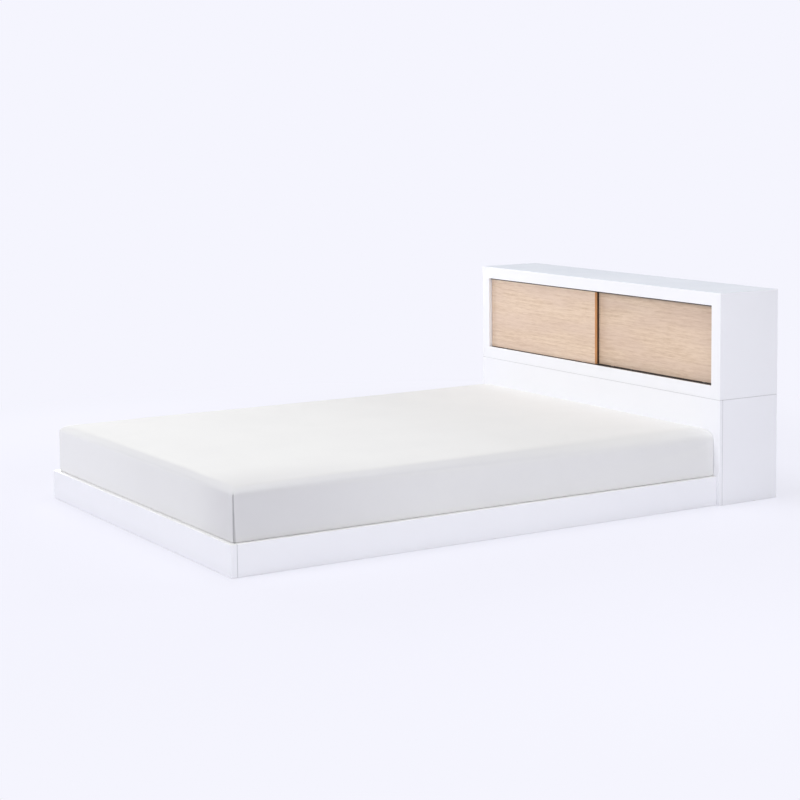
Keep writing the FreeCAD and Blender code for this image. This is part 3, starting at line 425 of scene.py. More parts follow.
def rubbed_edges(tree, at, edge):
    """Where handling has rubbed a board's edges, as a share."""
    most = 0.3
    rub = spread(tree, cloud(tree, at, 28.0, detail=3.0, roughness=0.6), 0.25, 0.75, 0.35, 1.0)
    return sum_of(tree, "MULTIPLY", sum_of(tree, "MULTIPLY", edge, rub), most)


def painted_top_shade(tree, place, top):
    """Painted shade, with a dust-like mottle, on the level face at one height, as a share."""
    at = place.outputs["Object"]
    high_up = spread(tree, axes(tree, at)["Z"], top - 2 * MM, top - 1 * MM)
    level = sum_of(tree, "MULTIPLY", high_up, upward_share(tree, place, 0.6, 0.95))
    mottle = spread(tree, cloud(tree, at, 3.0, detail=4.0, roughness=0.6), 0.2, 0.8, 0.68, 0.86)
    return sum_of(tree, "MULTIPLY", level, mottle)


def white_lacquer(name, joints, paints_top_light=False, shaded_top_height=None):
    """Satin white lacquer on board: faint orange peel, soft haze, rubbed edges, shadowed joints, and
    where asked painted light on upward faces or painted shade on the top face.
    """
    clean = (0.868, 0.872, 0.905, 1.0)
    hazed = (0.858, 0.862, 0.896, 1.0)
    rubbed = (0.80, 0.80, 0.82, 1.0)
    # The lighter white of the painted light on upward faces.
    painted_top_light = (0.95, 0.95, 0.96, 1.0)
    # The cool grey of the painted shade on the level top face.
    top_shade_colour = (0.60, 0.635, 0.70, 1.0)
    top_film_roughness = 0.85
    joint_shade = (0.30, 0.30, 0.32, 1.0)
    joint_share = 0.5
    material, tree, shader, place = new_finish(name, roughness=0.34, specular=0.45)
    at = place.outputs["Object"]
    haze = use_effect(tree, HAZE, Vector=at, Patches=3.0, Clean=clean, Hazed=hazed)
    edge = use_effect(tree, ARRIS, Normal=place.outputs["Normal"]).outputs["Mask"]
    tint = mix_colours(tree, rubbed_edges(tree, at, edge), haze.outputs["Color"], rubbed)
    smear = cloud(tree, at, 11.0, detail=4.0, roughness=0.65)
    gloss = spread(tree, smear, 0.3, 0.75, 0.29, 0.40)
    # Painted light: upward faces and their rounded edges are mixed towards a lighter white, as if lit
    # from above.
    if paints_top_light:
        tint = mix_colours(tree, upward_share(tree, place, 0.25, 0.8), tint, painted_top_light)
    # Painted shade: the level top face is darkened towards a cool grey with a dust-like mottle, and
    # made rougher.
    if shaded_top_height is not None:
        dust = painted_top_shade(tree, place, shaded_top_height)
        tint = mix_colours(tree, dust, tint, top_shade_colour)
        gloss = sum_of(tree, "MAXIMUM", gloss, sum_of(tree, "MULTIPLY", dust, top_film_roughness))
    for axis, spot in joints:
        line = sum_of(tree, "MULTIPLY", joint_line(tree, at, axis, spot), edge)
        tint = mix_colours(tree, sum_of(tree, "MULTIPLY", line, joint_share), tint, joint_shade)
    tree.links.new(tint, shader.inputs["Base Color"])
    tree.links.new(gloss, shader.inputs["Roughness"])
    peel = cloud(tree, at, 330.0, detail=2.0, roughness=0.5)
    raise_surface(tree, shader, peel, depth=0.06 * MM, strength=0.25)
    return material


def white_back_board():
    """Thin back board: painted hardboard with a faint felted tooth."""
    material, tree, shader, place = new_finish("white_back_board", roughness=0.62, specular=0.35)
    at = place.outputs["Object"]
    haze = use_effect(
        tree, HAZE, Vector=at, Patches=9.0,
        Clean=(0.80, 0.80, 0.82, 1.0), Hazed=(0.78, 0.78, 0.80, 1.0))
    tree.links.new(haze.outputs["Color"], shader.inputs["Base Color"])
    tooth = cloud(tree, at, 520.0, detail=3.0, roughness=0.65)
    rough = spread(tree, tooth, 0.3, 0.7, 0.55, 0.72)
    tree.links.new(rough, shader.inputs["Roughness"])
    raise_surface(tree, shader, tooth, depth=0.2 * MM, strength=0.4)
    return material


def oak_veneer():
    """Pale limed oak, grain along the bed's width, under a matt varnish."""
    blush_colour = linear(210, 184, 170)
    edge_colour = linear(231, 211, 189)
    material, tree, shader, place = new_finish("oak_veneer", roughness=0.5, specular=0.4)
    at = place.outputs["Object"]
    wood = use_effect(
        tree, TIMBER, Vector=at, Pale=linear(227, 204, 182), Dark=linear(189, 156, 125),
        Pore=linear(176, 145, 118), Bands=1.0, Pore_Share=0.45)
    blush = cloud(tree, stretch(tree, at, (1.0, 3.0, 5.0)), 2.6, detail=2.0, roughness=0.5)
    blush = spread(tree, blush, 0.35, 0.68, 0.0, 0.35)
    tint = mix_colours(tree, blush, wood.outputs["Color"], blush_colour)
    edge = use_effect(tree, ARRIS, Normal=place.outputs["Normal"])
    worn = sum_of(tree, "MULTIPLY", edge.outputs["Mask"], 0.5)
    tint = mix_colours(tree, worn, tint, edge_colour)
    tree.links.new(tint, shader.inputs["Base Color"])
    rough = spread(tree, wood.outputs["Tone"], 0.0, 1.0, 0.44, 0.56)
    tree.links.new(rough, shader.inputs["Roughness"])
    relief = sum_of(tree, "MULTIPLY", wood.outputs["Pores"], -1.0)
    raise_surface(tree, shader, relief, depth=0.12 * MM, strength=0.5)
    return material


def oak_edge_band():
    """Warm brown edge band on the door ends, its grain upright."""
    material, tree, shader, place = new_finish("oak_edge_band", roughness=0.42, specular=0.45)
    upright = turn_pattern(tree, place.outputs["Object"], (0.0, math.pi / 2, 0.0))
    wood = use_effect(
        tree, TIMBER, Vector=upright, Pale=linear(224, 166, 114), Dark=linear(198, 140, 92),
        Pore=linear(158, 106, 66), Bands=0.6, Pore_Share=0.4)
    tree.links.new(wood.outputs["Color"], shader.inputs["Base Color"])
    rough = spread(tree, wood.outputs["Tone"], 0.0, 1.0, 0.36, 0.5)
    tree.links.new(rough, shader.inputs["Roughness"])
    relief = sum_of(tree, "MULTIPLY", wood.outputs["Pores"], -1.0)
    raise_surface(tree, shader, relief, depth=0.1 * MM, strength=0.4)
    return material


def sawn_pine(name, along_bed):
    """Planed softwood for the bed base, its grain along each piece."""
    knot_colour = linear(128, 82, 48)
    edge_colour = linear(240, 216, 176)
    material, tree, shader, place = new_finish(name, roughness=0.6, specular=0.35)
    at = place.outputs["Object"]
    if along_bed:
        at = turn_pattern(tree, at, (0.0, 0.0, math.pi / 2))
    wood = use_effect(
        tree, TIMBER, Vector=at, Pale=linear(233, 205, 160), Dark=linear(206, 164, 112),
        Pore=linear(176, 128, 82), Bands=1.6, Pore_Share=0.3)
    knots = tree.nodes.new("ShaderNodeTexVoronoi")
    knots.inputs["Scale"].default_value = 4.0
    tree.links.new(stretch(tree, at, (0.75, 1.3, 1.3)), knots.inputs["Vector"])
    knot = spread(tree, knots.outputs["Distance"], 0.025, 0.09, 0.85, 0.0)
    tint = mix_colours(tree, knot, wood.outputs["Color"], knot_colour)
    edge = use_effect(tree, ARRIS, Normal=place.outputs["Normal"])
    worn = sum_of(tree, "MULTIPLY", edge.outputs["Mask"], 0.4)
    tint = mix_colours(tree, worn, tint, edge_colour)
    tree.links.new(tint, shader.inputs["Base Color"])
    rough = spread(tree, wood.outputs["Tone"], 0.0, 1.0, 0.52, 0.7)
    tree.links.new(rough, shader.inputs["Roughness"])
    raise_surface(tree, shader, wood.outputs["Tone"], depth=0.2 * MM, strength=0.35)
    return material


def turned_beech():
    """Close-grained dowel wood."""
    material, tree, shader, place = new_finish("turned_beech", roughness=0.55, specular=0.35)
    wood = use_effect(
        tree, TIMBER, Vector=place.outputs["Object"], Pale=linear(226, 190, 152),
        Dark=linear(204, 160, 120), Pore=linear(168, 118, 82), Bands=0.4, Pore_Share=0.6)
    tree.links.new(wood.outputs["Color"], shader.inputs["Base Color"])
    raise_surface(tree, shader, wood.outputs["Pores"], depth=0.1 * MM, strength=0.4)
    return material


def plated_metal(name, clean, dulled, roughness, metal_patches):
    """Plated hardware: bright where it is clean, cloudy where the plating has dulled."""
    material, tree, shader, place = new_finish(name, roughness)
    shader.inputs["Metallic"].default_value = 1.0
    at = place.outputs["Object"]
    haze = use_effect(tree, HAZE, Vector=at, Patches=metal_patches, Clean=clean, Hazed=dulled)
    tree.links.new(haze.outputs["Color"], shader.inputs["Base Color"])
    rough = spread(tree, haze.outputs["Mask"], 0.0, 1.0, roughness - 0.06, roughness + 0.14)
    tree.links.new(rough, shader.inputs["Roughness"])
    grain = cloud(tree, at, 1500.0, detail=2.0, roughness=0.6)
    raise_surface(tree, shader, grain, depth=0.05 * MM, strength=0.3)
    return material


def moulded_plastic(name, clean, hazed, roughness):
    """Moulded plastic or rubber: an even colour with a fine spark-eroded tooth and a little dust."""
    tooth_size = 900.0
    material, tree, shader, place = new_finish(name, roughness, specular=0.4)
    at = place.outputs["Object"]
    haze = use_effect(tree, HAZE, Vector=at, Patches=40.0, Clean=clean, Hazed=hazed)
    tree.links.new(haze.outputs["Color"], shader.inputs["Base Color"])
    tooth = cloud(tree, at, tooth_size, detail=2.0, roughness=0.6)
    rough = spread(tree, tooth, 0.3, 0.7, roughness - 0.05, roughness + 0.08)
    tree.links.new(rough, shader.inputs["Roughness"])
    raise_surface(tree, shader, tooth, depth=0.08 * MM, strength=0.35)
    return material


def painted_foot_light(tree, facing, along):
    """Painted light on the foot face, most at its left end."""
    foot_face = spread(tree, facing["Y"], -0.9, -0.4, 1.0, 0.0)
    left_end = spread(tree, along["X"], -0.75, 0.5, 1.0, 0.0)
    return sum_of(tree, "MULTIPLY", foot_face, left_end)


def painted_corner_shade(tree, at):
    """Painted shade round the right foot corner, further along the side than across the foot."""
    corner_x = 0.76
    corner_y = -1.138
    narrow = 2.6
    from_corner = tree.nodes.new("ShaderNodeMapping")
    from_corner.inputs["Location"].default_value = (-narrow * corner_x, -corner_y, 0.0)
    from_corner.inputs["Scale"].default_value = (narrow, 1.0, 0.0)
    tree.links.new(at, from_corner.inputs["Vector"])
    return spread(tree, distance(tree, from_corner.outputs["Vector"]), 0.05, 0.85, 0.38, 0.0)


def painted_shoulder_shade(tree, facing, along):
    """Painted shade where the cover turns over the top edge, most at the right and the foot."""
    not_level = spread(tree, facing["Z"], 0.93, 0.997, 1.0, 0.0)
    not_upright = spread(tree, facing["Z"], 0.12, 0.66)
    to_foot = spread(tree, along["Y"], -0.3, 0.6, 1.0, 0.2)
    to_right = spread(tree, along["X"], -0.75, 0.1, 0.45, 1.0)
    share = sum_of(tree, "MULTIPLY", not_level, not_upright)
    share = sum_of(tree, "MULTIPLY", share, to_foot)
    return sum_of(tree, "MULTIPLY", share, to_right)


def mattress_knit():
    """White stretch knit over the mattress: matt, with a soft bloom at the turn of an edge, and painted
    light and shade: lighter at the foot's left end, darker at the right foot corner, the shoulders, the
    seams and between the loops.
    """
    clean = (0.767, 0.767, 0.768, 1.0)
    hazed = (0.753, 0.753, 0.755, 1.0)
    # Painted light: the lighter colour that the foot face takes towards its left end.
    foot_light_colour = (0.83, 0.83, 0.835, 1.0)
    # Painted shade in the hollows between the knit's loops.
    loop_hollow_shade = (0.66, 0.66, 0.67, 1.0)
    # Painted shade in the corner seams' grooves and folded bands, near black at the line.
    seam_shadow = (0.24, 0.23, 0.25, 1.0)
    # Painted shade: the grey that the right foot corner is darkened towards.
    corner_shade_colour = (0.53, 0.525, 0.55, 1.0)
    # Painted shade: the grey that the shoulders take where the cover turns over the top edge.
    stretched = (0.665, 0.665, 0.685, 1.0)
    material, tree, shader, place = new_finish("mattress_knit", roughness=0.92, specular=0.2)
    shader.inputs["Sheen Weight"].default_value = 0.12
    shader.inputs["Sheen Roughness"].default_value = 0.5
    at = place.outputs["Object"]
    facing = axes(tree, place.outputs["Normal"])
    along = axes(tree, at)
    haze = use_effect(tree, HAZE, Vector=at, Patches=4.0, Clean=clean, Hazed=hazed)
    knit = use_effect(tree, KNIT, Vector=at, Loops=2600.0)
    seam = tree.nodes.new("ShaderNodeAttribute")
    seam.attribute_name = "seam"
    layers = [
        (painted_foot_light(tree, facing, along), foot_light_colour),
        (spread(tree, knit.outputs["Shade"], 0.1, 0.9, 0.10, 0.0), loop_hollow_shade),
        (sum_of(tree, "MULTIPLY", seam.outputs["Fac"], 0.9), seam_shadow),
        (painted_corner_shade(tree, at), corner_shade_colour),
        (painted_shoulder_shade(tree, facing, along), stretched),
    ]
    tint = haze.outputs["Color"]
    for share, colour in layers:
        tint = mix_colours(tree, share, tint, colour)
    tree.links.new(tint, shader.inputs["Base Color"])
    raise_surface(tree, shader, knit.outputs["Height"], depth=0.3 * MM, strength=0.35)
    return material


def make_finishes():
    """A finish for each slot in the record."""
    tier_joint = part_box("cabinet_bottom")[0].z
    panel_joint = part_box("base_front_panel")[1].y
    cabinet_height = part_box("cabinet_top")[1].z
    board_joints = [("Z", tier_joint), ("Y", panel_joint)]
    return {
        # The cabinet's top face takes painted shade.
        "white_board": white_lacquer("white_lacquer", board_joints, shaded_top_height=cabinet_height),
        "back_board": white_back_board(),
        "oak_face": oak_veneer(),
        "oak_edge": oak_edge_band(),
        "track_plastic": moulded_plastic(
            "black_track", (0.012, 0.011, 0.011, 1.0), (0.022, 0.020, 0.020, 1.0), 0.42),
        "pine": sawn_pine("pine_slat", along_bed=False),
        "beech": turned_beech(),
        "zinc_steel": plated_metal(
            "zinc_plate", (0.62, 0.63, 0.65, 1.0), (0.46, 0.46, 0.47, 1.0), 0.32, 60.0),
        "brass": plated_metal(
            "brass_insert", (0.72, 0.53, 0.24, 1.0), (0.52, 0.37, 0.16, 1.0), 0.30, 80.0),
        "nylon": moulded_plastic(
            "white_nylon", (0.78, 0.78, 0.76, 1.0), (0.68, 0.68, 0.66, 1.0), 0.45),
        "housing_plastic": moulded_plastic(
            "grey_housing", (0.28, 0.28, 0.29, 1.0), (0.22, 0.22, 0.23, 1.0), 0.48),
        "rubber": moulded_plastic(
            "dark_rubber", (0.035, 0.035, 0.036, 1.0), (0.06, 0.06, 0.06, 1.0), 0.75),
        "mattress_cloth": mattress_knit(),
    }


def dress_cad_nodes(finishes):
    """Gives every CAD node the finish of its slot. The rails, whose lacquer has painted light on its
    upward faces, and the lengthwise pine have their own.
    """
    foot_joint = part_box("footboard")[1].y
    # The rails' lacquer has painted light on its upward faces.
    rail_lacquer_top_lit = white_lacquer("white_rail_lacquer_painted_top_light", [("Y", foot_joint)], paints_top_light=True)
    pine_along = sawn_pine("pine_rail", along_bed=True)
    own_finish = {
        "footboard": rail_lacquer_top_lit,
        "side_rail_left": rail_lacquer_top_lit,
        "side_rail_right": rail_lacquer_top_lit,
        "centre_beam": pine_along,
        "slat_ledger_left": pine_along,
        "slat_ledger_right": pine_along,
    }
    for name, piece in nodes.items():
        for place, old in enumerate(piece.data.materials):
            slot_name = old.name.split(".")[0]
            piece.data.materials[place] = own_finish.get(name, finishes[slot_name])


# The mattress.

# Cuts along the width, the length and the height of the starting block.
BLOCK_CUTS = (63, 83, 25)
# Heights of the block's levels above its underside, in millimetres, closest where the side bulges.
LEVEL_HEIGHTS = (
    0, 7, 14, 24, 36, 46, 50.2, 51.4, 52.6, 54, 57, 64, 80, 98, 114, 130, 144, 156, 167, 178,
    189, 198, 207, 213.5, 220, 226.5, 233)
LEVELS = [height / LEVEL_HEIGHTS[-1] for height in LEVEL_HEIGHTS]
# The lowest levels, which turn under the mattress.
UNDER_LEVELS = 2
# How high the top crowns, and how far in the crown reaches its height.
CROWN = 3 * MM
CROWN_REACH = 0.4
# How far in the shoulders start and how far they fall: in general, at the foot and at the head.
SHOULDER_IN = 75 * MM
SHOULDER_DOWN = 44 * MM
FOOT_SHOULDER_IN = 50 * MM
FOOT_SHOULDER_DOWN = 26 * MM
HEAD_DOWN = 14 * MM
# Roundness of the lower edge, the upright corners and the corners at the head.
UNDER_ROUND = 14 * MM
CORNER_ROUND = 12 * MM
HEAD_CORNER = 0.5 * MM
# How far the cover goes past its CAD solid: under the rails' tops, over them and at the head.
SIDE_TUCK = 2.5 * MM
FOOT_TUCK = 2.5 * MM
SIDE_BULGE = 7.0 * MM
FOOT_BULGE = 8.0 * MM
HEAD_REACH = 4.5 * MM
# The most that the cover swells, in general and towards the headboard.
SWELL_LIMIT = 2.5 * MM
HEAD_SWELL = 0.2 * MM
# The corner seams: depth and width of the line, how far round it lies at the head, and the folded band
# beside it at the foot, with the share of painted shade that the band takes.
SEAM_DEPTH = 4.0 * MM
SEAM_WIDTH = 2.2 * MM
HEAD_SEAM = -24 * MM
BAND_DEPTH = 0.8 * MM
BAND_SHADE = 0.6


def smooth_step(low, high, value):
    """0 below low, 1 above high, and an even slope between."""
    share = min(max((value - low) / (high - low), 0.0), 1.0)
    return share * share * (3 - 2 * share)


def edit_edges_along(piece, axis):
    """Selects every edge of the piece that runs along one axis, in edit mode."""
    shape = bmesh.from_edit_mesh(piece.data)
    for edge in shape.edges:
        run = edge.verts[1].co - edge.verts[0].co
        edge.select_set(abs(run[axis]) > 0.9 * run.length)
    bmesh.update_edit_mesh(piece.data)


def mattress_block(low, high):
    """A block at the mattress's size and place, cut into even strips each way."""
    bpy.ops.object.select_all(action="DESELECT")
    bpy.ops.mesh.primitive_cube_add(size=1.0, location=(low + high) / 2, scale=high - low)
    block = bpy.context.object
    block.name = "mattress"
    bpy.ops.object.transform_apply(location=True, rotation=True, scale=True)
    bpy.ops.object.mode_set(mode="EDIT")
    bpy.ops.mesh.select_mode(type="EDGE")
    for axis, cuts in enumerate(BLOCK_CUTS):
        bpy.ops.mesh.select_all(action="DESELECT")
        edit_edges_along(block, axis)
        bpy.ops.mesh.subdivide(number_cuts=cuts)
    bpy.ops.object.mode_set(mode="OBJECT")
    return block


def crowd_to_edges(place, half):
    """Moves even strips closer together towards the edges, where the cover turns."""
    even_part = 0.212
    crowded_part = 0.788
    crowding = 2.2
    share = 1 - min(abs(place) / half, 1.0)
    from_edge = half * (even_part * share + crowded_part * share ** crowding)
    return math.copysign(half - from_edge, place)


def round_plan(x, y, inset, depth, corner, half_width, half_length):
    """A point of the squared outline at one depth, on the rounded outline at its inset."""
    least = 1e-6
    on_corner = 1e-9
    wide = half_width - inset
    long = half_length - inset
    x = x * wide / max(half_width - depth, least)
    y = y * long / max(half_length - depth, least)
    inner_x = min(max(x, corner - wide), wide - corner)
    inner_y = min(max(y, corner - long), long - corner)
    out_x = x - inner_x
    out_y = y - inner_y
    if abs(out_x) > on_corner and abs(out_y) > on_corner:
        reach = math.hypot(out_x, out_y)
        x = inner_x + out_x / reach * corner
        y = inner_y + out_y / reach * corner
    return x, y


def shoulder_drop(depth, reach, drop):
    """How far an oval shoulder has fallen at one distance in from its edge."""
    share = 1 - min(max(depth / reach, 0.0), 1.0)
    return drop * (1 - math.sqrt(1 - share * share))


def shoulder_size(y, half_length):
    """Reach and drop of the shoulders at one place: close at the foot, softer towards the head."""
    softer = smooth_step(-half_length, 0.5 * half_length, y)
    reach = FOOT_SHOULDER_IN + (SHOULDER_IN - FOOT_SHOULDER_IN) * softer
    drop = FOOT_SHOULDER_DOWN + (SHOULDER_DOWN - FOOT_SHOULDER_DOWN) * softer
    return reach, drop


def lift_head_end(x, y, z, low, edge_top, half_width, half_length):
    """Raises the head end, whose top edge is less rounded than those of the sides."""
    from_side = half_width - abs(x)
    from_head = half_length - y
    from_edge = min(from_side, from_head, half_length + y)
    now = edge_top - shoulder_drop(from_edge, SHOULDER_IN, SHOULDER_DOWN)
    side_drop = shoulder_drop(from_side, SHOULDER_IN, SHOULDER_DOWN)
    head_drop = shoulder_drop(from_head, SHOULDER_IN, HEAD_DOWN)
    wanted = edge_top - (side_drop ** 3 + head_drop ** 3) ** (1 / 3)
    share = min(max((z - low.z) / (now - low.z), 0.0), 1.0)
    return z + max(wanted - now, 0.0) * share


def bulge_over_rails(x, y, z, rail_top, half_width, half_length):
    """Widens the mattress above the rails, which hold it in below."""
    bulge_from = rail_top + 0.1 * MM
    bulge_to = rail_top + 1.3 * MM
    above = smooth_step(bulge_from, bulge_to, z)
    x = x * (1 + SIDE_BULGE * above / half_width)
    if y < 0:
        y = y * (1 + FOOT_BULGE * above / half_length)
    return x, y


def turn_round_edge(rise, depth, reach):
    """How far round an edge a point lies, and its inset: half from its level, half from its depth."""
    turn = math.radians(45 * rise + 45 * min(depth / reach, 1.0))
    inset = depth
    if depth < reach:
        inset = reach * (1 - math.cos(turn))
    return turn, inset


def turn_over_top(z, depth, close, reach, drop, edge_top):
    """A point on a shoulder or the top: its inset, its corner's roundness and its height."""
    corner_growth = 0.3
    turn, inset = turn_round_edge((z - edge_top + drop) / drop, depth, reach)
    corner = close + corner_growth * min(inset, reach)
    corner = corner * (1 - smooth_step(reach, 4 * reach, depth))
    z = edge_top - drop + drop * math.sin(turn)
    z = z + CROWN * (1 - (1 - min(depth / CROWN_REACH, 1.0)) ** 2)
    return inset, corner, z


def turn_under(z, depth, close, low_z):
    """A point on the lower edge or the underside: its inset, its corner's roundness and its height."""
    corner_growth = 0.5
    square_from = 0.02
    square_to = 0.2
    turn, inset = turn_round_edge((low_z + UNDER_ROUND - z) / UNDER_ROUND, depth, UNDER_ROUND)
    corner = close + corner_growth * min(inset, UNDER_ROUND)
    corner = corner * (1 - smooth_step(square_from, square_to, depth))
    z = low_z + UNDER_ROUND - UNDER_ROUND * math.sin(turn)
    return inset, corner, z


def shape_shoulders(block, low, high):
    """Turns the block into the mattress: soft wide shoulders, close upright corners, a low crown."""
    half_width = (high.x - low.x) / 2
    half_length = (high.y - low.y) / 2
    middle = (low + high) / 2
    edge_top = high.z - CROWN
    steps = len(LEVELS) - 1
    rail_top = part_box("side_rail_right")[1].z
    corner_run = block.data.attributes.new("corner_run", "FLOAT", "POINT")
    for i, point in enumerate(block.data.vertices):
        x = crowd_to_edges(point.co.x - middle.x, half_width)
        y = crowd_to_edges(point.co.y - middle.y, half_length)
        corner_run.data[i].value = (half_length - abs(y)) - (half_width - abs(x))
        level = round((point.co.z - low.z) / (high.z - low.z) * steps)
        z = low.z + LEVELS[level] * (edge_top - low.z)
        depth = min(half_width - abs(x), half_length - abs(y))
        inset = 0.0
        close = HEAD_CORNER if y > 0 else CORNER_ROUND
        corner = close
        reach, drop = shoulder_size(y, half_length)
        if z > edge_top - drop:
            inset, corner, z = turn_over_top(z, depth, close, reach, drop, edge_top)
        elif z < low.z + UNDER_ROUND and level <= UNDER_LEVELS:
            inset, corner, z = turn_under(z, depth, close, low.z)
        x, y = round_plan(x, y, inset, depth, corner, half_width, half_length)
        if y > half_length / 2:
            z = lift_head_end(x, y, z, low, edge_top, half_width, half_length)
        x, y = bulge_over_rails(x, y, z, rail_top, half_width, half_length)
        point.co = Vector((middle.x + x, middle.y + y, z))


def set_cloth(cloth, steps):
    """A light cloth under a little air pressure, with no weight of its own."""
    cloth.settings.quality = 5
    cloth.settings.mass = 0.3
    cloth.settings.tension_stiffness = 25
    cloth.settings.compression_stiffness = 25
    cloth.settings.shear_stiffness = 10
    cloth.settings.bending_stiffness = 1.0
    cloth.settings.use_pressure = True
    cloth.settings.uniform_pressure_force = 4.0
    cloth.settings.vertex_group_mass = "held"
    cloth.settings.effector_weights.gravity = 0.0
    cloth.collision_settings.use_collision = False
    cloth.point_cache.frame_start = 1
    cloth.point_cache.frame_end = steps


def puff_up(piece):
    """Blows the cover up a little, held at the rails and the headboard, and caps how far it swells."""
    steps = 20
    rest = [point.co.copy() for point in piece.data.vertices]
    held_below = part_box("side_rail_right")[1].z + 2.5 * MM
    held_beyond = max(place.y for place in rest) - 1 * MM
    still = [i for i, place in enumerate(rest) if place.z < held_below or place.y > held_beyond]
    held = piece.vertex_groups.new(name="held")
    held.add(still, 1.0, "ADD")
    cloth = piece.modifiers.new("swell", "CLOTH")
    set_cloth(cloth, steps)
    for step in range(1, steps + 1):
        bpy.context.scene.frame_set(step)
    seen = piece.evaluated_get(bpy.context.evaluated_depsgraph_get())
    swollen = [point.co.copy() for point in seen.data.vertices]
    piece.modifiers.remove(cloth)
    bpy.context.scene.frame_set(1)
    for point, before, after in zip(piece.data.vertices, rest, swollen):
        move = after - before
        if move.length > SWELL_LIMIT:
            move = move * (SWELL_LIMIT / move.length)
        move.y = min(move.y, HEAD_SWELL)
        point.co = before + move


def seam_at(run, at_foot, height_share):
    """The seam line and, at the foot, the folded band beside it, as shares of their depths."""
    if not at_foot:
        return math.exp(-((run - HEAD_SEAM) / SEAM_WIDTH) ** 2), 0.0
    band_wide = (14 - 9 * height_share) * MM
    line = math.exp(-(run / SEAM_WIDTH) ** 2)
    band = smooth_step(-2 * MM, 1 * MM, run)
    band = band * (1 - smooth_step(0.7 * band_wide, band_wide, run))
    return line, band


def sew_corners(piece, low, high):
    """Draws in an upright seam at each corner and marks painted shade along its line and, at the foot,
    its folded band.
    """
    corner_area = 0.06
    fade_from = high.z - 24 * MM
    fade_to = high.z - 8 * MM
    band_top = high.z - 40 * MM
    middle = (low + high) / 2
    half_width = (high.x - low.x) / 2 + SIDE_BULGE
    half_length = (high.y - low.y) / 2
    shade = piece.data.attributes.new("seam", "FLOAT", "POINT")
    corner_run = piece.data.attributes["corner_run"]
    for i, point in enumerate(piece.data.vertices):
        from_middle = point.co - middle
        across = half_width - abs(from_middle.x)
        along = half_length - abs(from_middle.y)
        if max(across, along) > corner_area:
            continue
        at_foot = from_middle.y < 0
        strength = 1 - smooth_step(fade_from, fade_to, point.co.z)
        height_share = smooth_step(low.z, band_top, point.co.z)
        line, band = seam_at(corner_run.data[i].value, at_foot, height_share)
        inward = Vector((0.0, -math.copysign(1, from_middle.y), 0.0))
        if at_foot:
            inward.x = -math.copysign(1, from_middle.x)
        point.co += inward.normalized() * strength * (SEAM_DEPTH * line + BAND_DEPTH * band)
        # Painted shade along the seam line and its band.
        shade.data[i].value = strength * max(line, BAND_SHADE * band)


def keep_head_corners(piece, low, high):
    """Keeps the two upright corners against the headboard square when the mesh is smoothed."""
    side = (high.x - low.x) / 2 - 1 * MM
    middle = (low.x + high.x) / 2
    sharp = piece.data.attributes.new("crease_edge", "FLOAT", "EDGE")
    places = [point.co for point in piece.data.vertices]
    for i, edge in enumerate(piece.data.edges):
        first = places[edge.vertices[0]]
        second = places[edge.vertices[1]]
        at_head = min(first.y, second.y) > high.y - 1 * MM
        at_side = min(abs(first.x - middle), abs(second.x - middle)) > side
        upright = abs(first.z - second.z) > 0.9 * (first - second).length
        if at_head and at_side and upright:
            sharp.data[i].value = 1.0


def make_mattress(finishes):
    """The mattress in its white knit cover, in the space of its two CAD solids."""
    low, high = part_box("mattress_cover")
    under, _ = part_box("mattress_underside")
    low.z = min(low.z, under.z)
    low = low + Vector((-SIDE_TUCK, -FOOT_TUCK, 0.0))
    high = high + Vector((SIDE_TUCK, HEAD_REACH, 0.0))
    mattress = mattress_block(low, high)
    shape_shoulders(mattress, low, high)
    puff_up(mattress)
    keep_head_corners(mattress, low, high)
    bpy.ops.object.select_all(action="DESELECT")
    mattress.select_set(True)
    bpy.context.view_layer.objects.active = mattress
    bpy.ops.object.modifier_add(type="SUBSURF")
    mattress.modifiers[-1].levels = 1
    mattress.modifiers[-1].render_levels = 1
    bpy.ops.object.modifier_apply(modifier=mattress.modifiers[-1].name)
    sew_corners(mattress, low, high)
    bpy.ops.object.shade_smooth()
    mattress.data.materials.append(finishes["mattress_cloth"])
    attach(mattress, "mattress")
    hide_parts("mattress_cover", "mattress_underside")


# Trim around the doors.

def seal_section(door_end, back, touch):
    """The strip's section: flat on the back of the door, with a thin lip round the door's end."""
    width = 10 * MM
    wrap = 4 * MM
    lip = 0.2 * MM
    return [
        (door_end - width, back),
        (door_end, back),
        (door_end, back - wrap),
        (door_end + lip / 2, back - wrap),
        (door_end + lip, back - wrap + lip / 2),
        (door_end + lip, touch - lip),
        (door_end, touch),
        (door_end - width, touch),
    ]


def ribbed_rings(shape, section, touch, low_z, high_z):
    """Rings of the section up the strip, every second one drawn in on the touching side."""
    ribs = 48
    rib_depth = 0.7 * MM
    rings = []
    for step in range(2 * ribs + 1):
        z = low_z + (high_z - low_z) * step / (2 * ribs)
        groove = rib_depth if step % 2 == 0 else 0.0
        places = [(x, y - groove if y == touch else y, z) for x, y in section]
        rings.append([shape.verts.new(place) for place in places])
    return rings


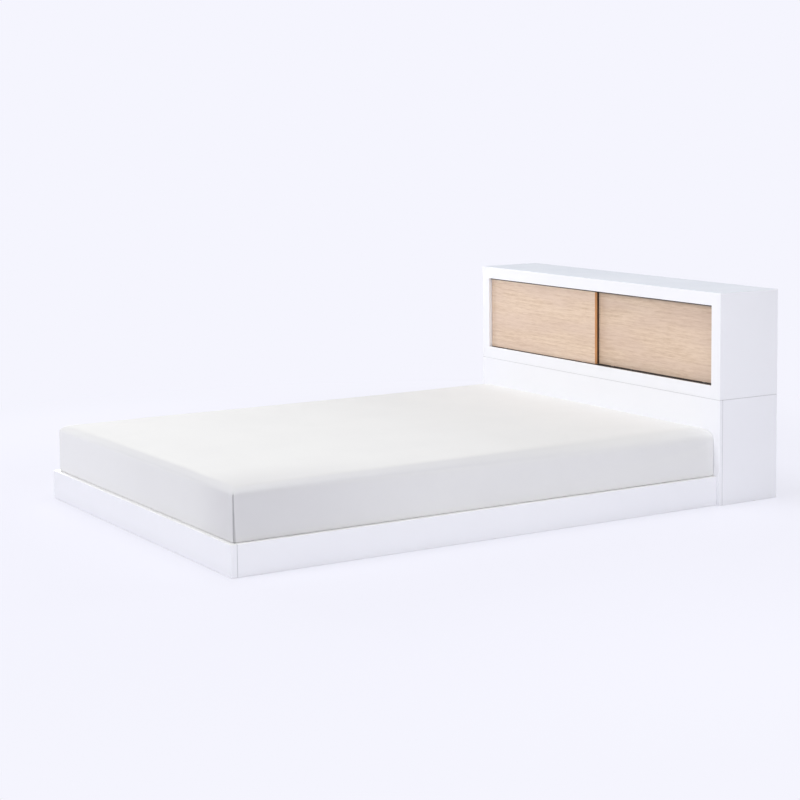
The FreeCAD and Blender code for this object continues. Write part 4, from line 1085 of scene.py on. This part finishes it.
def make_seal_and_gap_shade():
    """A ribbed rubber strip on the front door's meeting end: it closes the gap to the rear door, and
    its dark brown stands in for the shade in that gap.
    """
    clearance = 0.5 * MM
    end_gap = 2 * MM
    front_low, front_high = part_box("door_left_panel")
    door_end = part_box("door_left_edge_bands")[1].x
    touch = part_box("door_right_panel")[0].y - clearance
    section = seal_section(door_end, front_high.y, touch)
    shape = bmesh.new()
    rings = ribbed_rings(shape, section, touch, front_low.z + end_gap, front_high.z - end_gap)
    for lower, upper in zip(rings, rings[1:]):
        for i, corner in enumerate(lower):
            shape.faces.new((lower[i - 1], corner, upper[i], upper[i - 1]))
    shape.faces.new(rings[0])
    shape.faces.new(rings[-1])
    bmesh.ops.recalc_face_normals(shape, faces=shape.faces)
    mesh = bpy.data.meshes.new("door_left_seal_gap_shade_strip")
    shape.to_mesh(mesh)
    shape.free()
    strip = bpy.data.objects.new("door_left_seal_gap_shade_strip", mesh)
    bpy.context.collection.objects.link(strip)
    # Dark brown, as the shade in the gap between the doors.
    finish = moulded_plastic(
        "brown_rubber_gap_shade", (0.040, 0.020, 0.010, 1.0), (0.055, 0.030, 0.016, 1.0), 0.7)
    mesh.materials.append(finish)
    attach(strip, "door_left")


def make_track_lip(finishes):
    """A dark strip along the top track, hanging in front of the doors' top edges, which draws a dark
    line above them.
    """
    hang = 4.8 * MM
    thick = 3.5 * MM
    door_gap = 1.5 * MM
    rounding = 0.8 * MM
    track_low, track_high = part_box("top_track")
    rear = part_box("door_left_panel")[0].y - door_gap
    low = Vector((track_low.x, rear - thick, track_low.z - hang))
    high = Vector((track_high.x, rear, track_low.z))
    bpy.ops.object.select_all(action="DESELECT")
    bpy.ops.mesh.primitive_cube_add(size=1.0, location=(low + high) / 2, scale=high - low)
    lip = bpy.context.object
    lip.name = "top_track_lip"
    bpy.ops.object.transform_apply(location=True, rotation=True, scale=True)
    shape = bmesh.new()
    shape.from_mesh(lip.data)
    near_bottom = low.z + MM
    lower_edges = [edge for edge in shape.edges if max(end.co.z for end in edge.verts) < near_bottom]
    bmesh.ops.bevel(shape, geom=lower_edges, offset=rounding, segments=3, profile=0.5, affect="EDGES")
    shape.to_mesh(lip.data)
    shape.free()
    lip.data.materials.append(finishes["track_plastic"])
    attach(lip, "bed")


# The scene.

# Each lamp's name, its place, the point that it faces, its width and its power in watts.
LAMPS = (
    ("lamp_front", (0.0, -6.2, 3.4), (0.0, 0.3, 0.4), 3.0, 194.0),
    ("lamp_top", (0.0, -0.4, 5.6), (0.0, -0.2, 0.3), 3.0, 144.0),
    ("lamp_left", (-4.5, -0.6, 1.6), (0.0, 0.0, 0.3), 2.0, 77.0),
    ("lamp_right_foot", (4.5, -0.6, 1.3), (0.0, 0.0, 0.3), 2.0, 57.0),
    ("lamp_right_head", (4.4, 1.6, 1.3), (0.3, 0.3, 0.3), 2.0, 17.0),
    ("lamp_back", (0.0, 5.2, 2.4), (0.0, 1.0, 0.4), 2.4, 86.0),
)

place_camera()
light_the_room()
for lamp in LAMPS:
    hang_lamp(*lamp)
lay_floor()
finishes = make_finishes()
dress_cad_nodes(finishes)
make_mattress(finishes)
make_seal_and_gap_shade()
make_track_lip(finishes)
bpy.context.scene.view_settings.view_transform = "Standard"
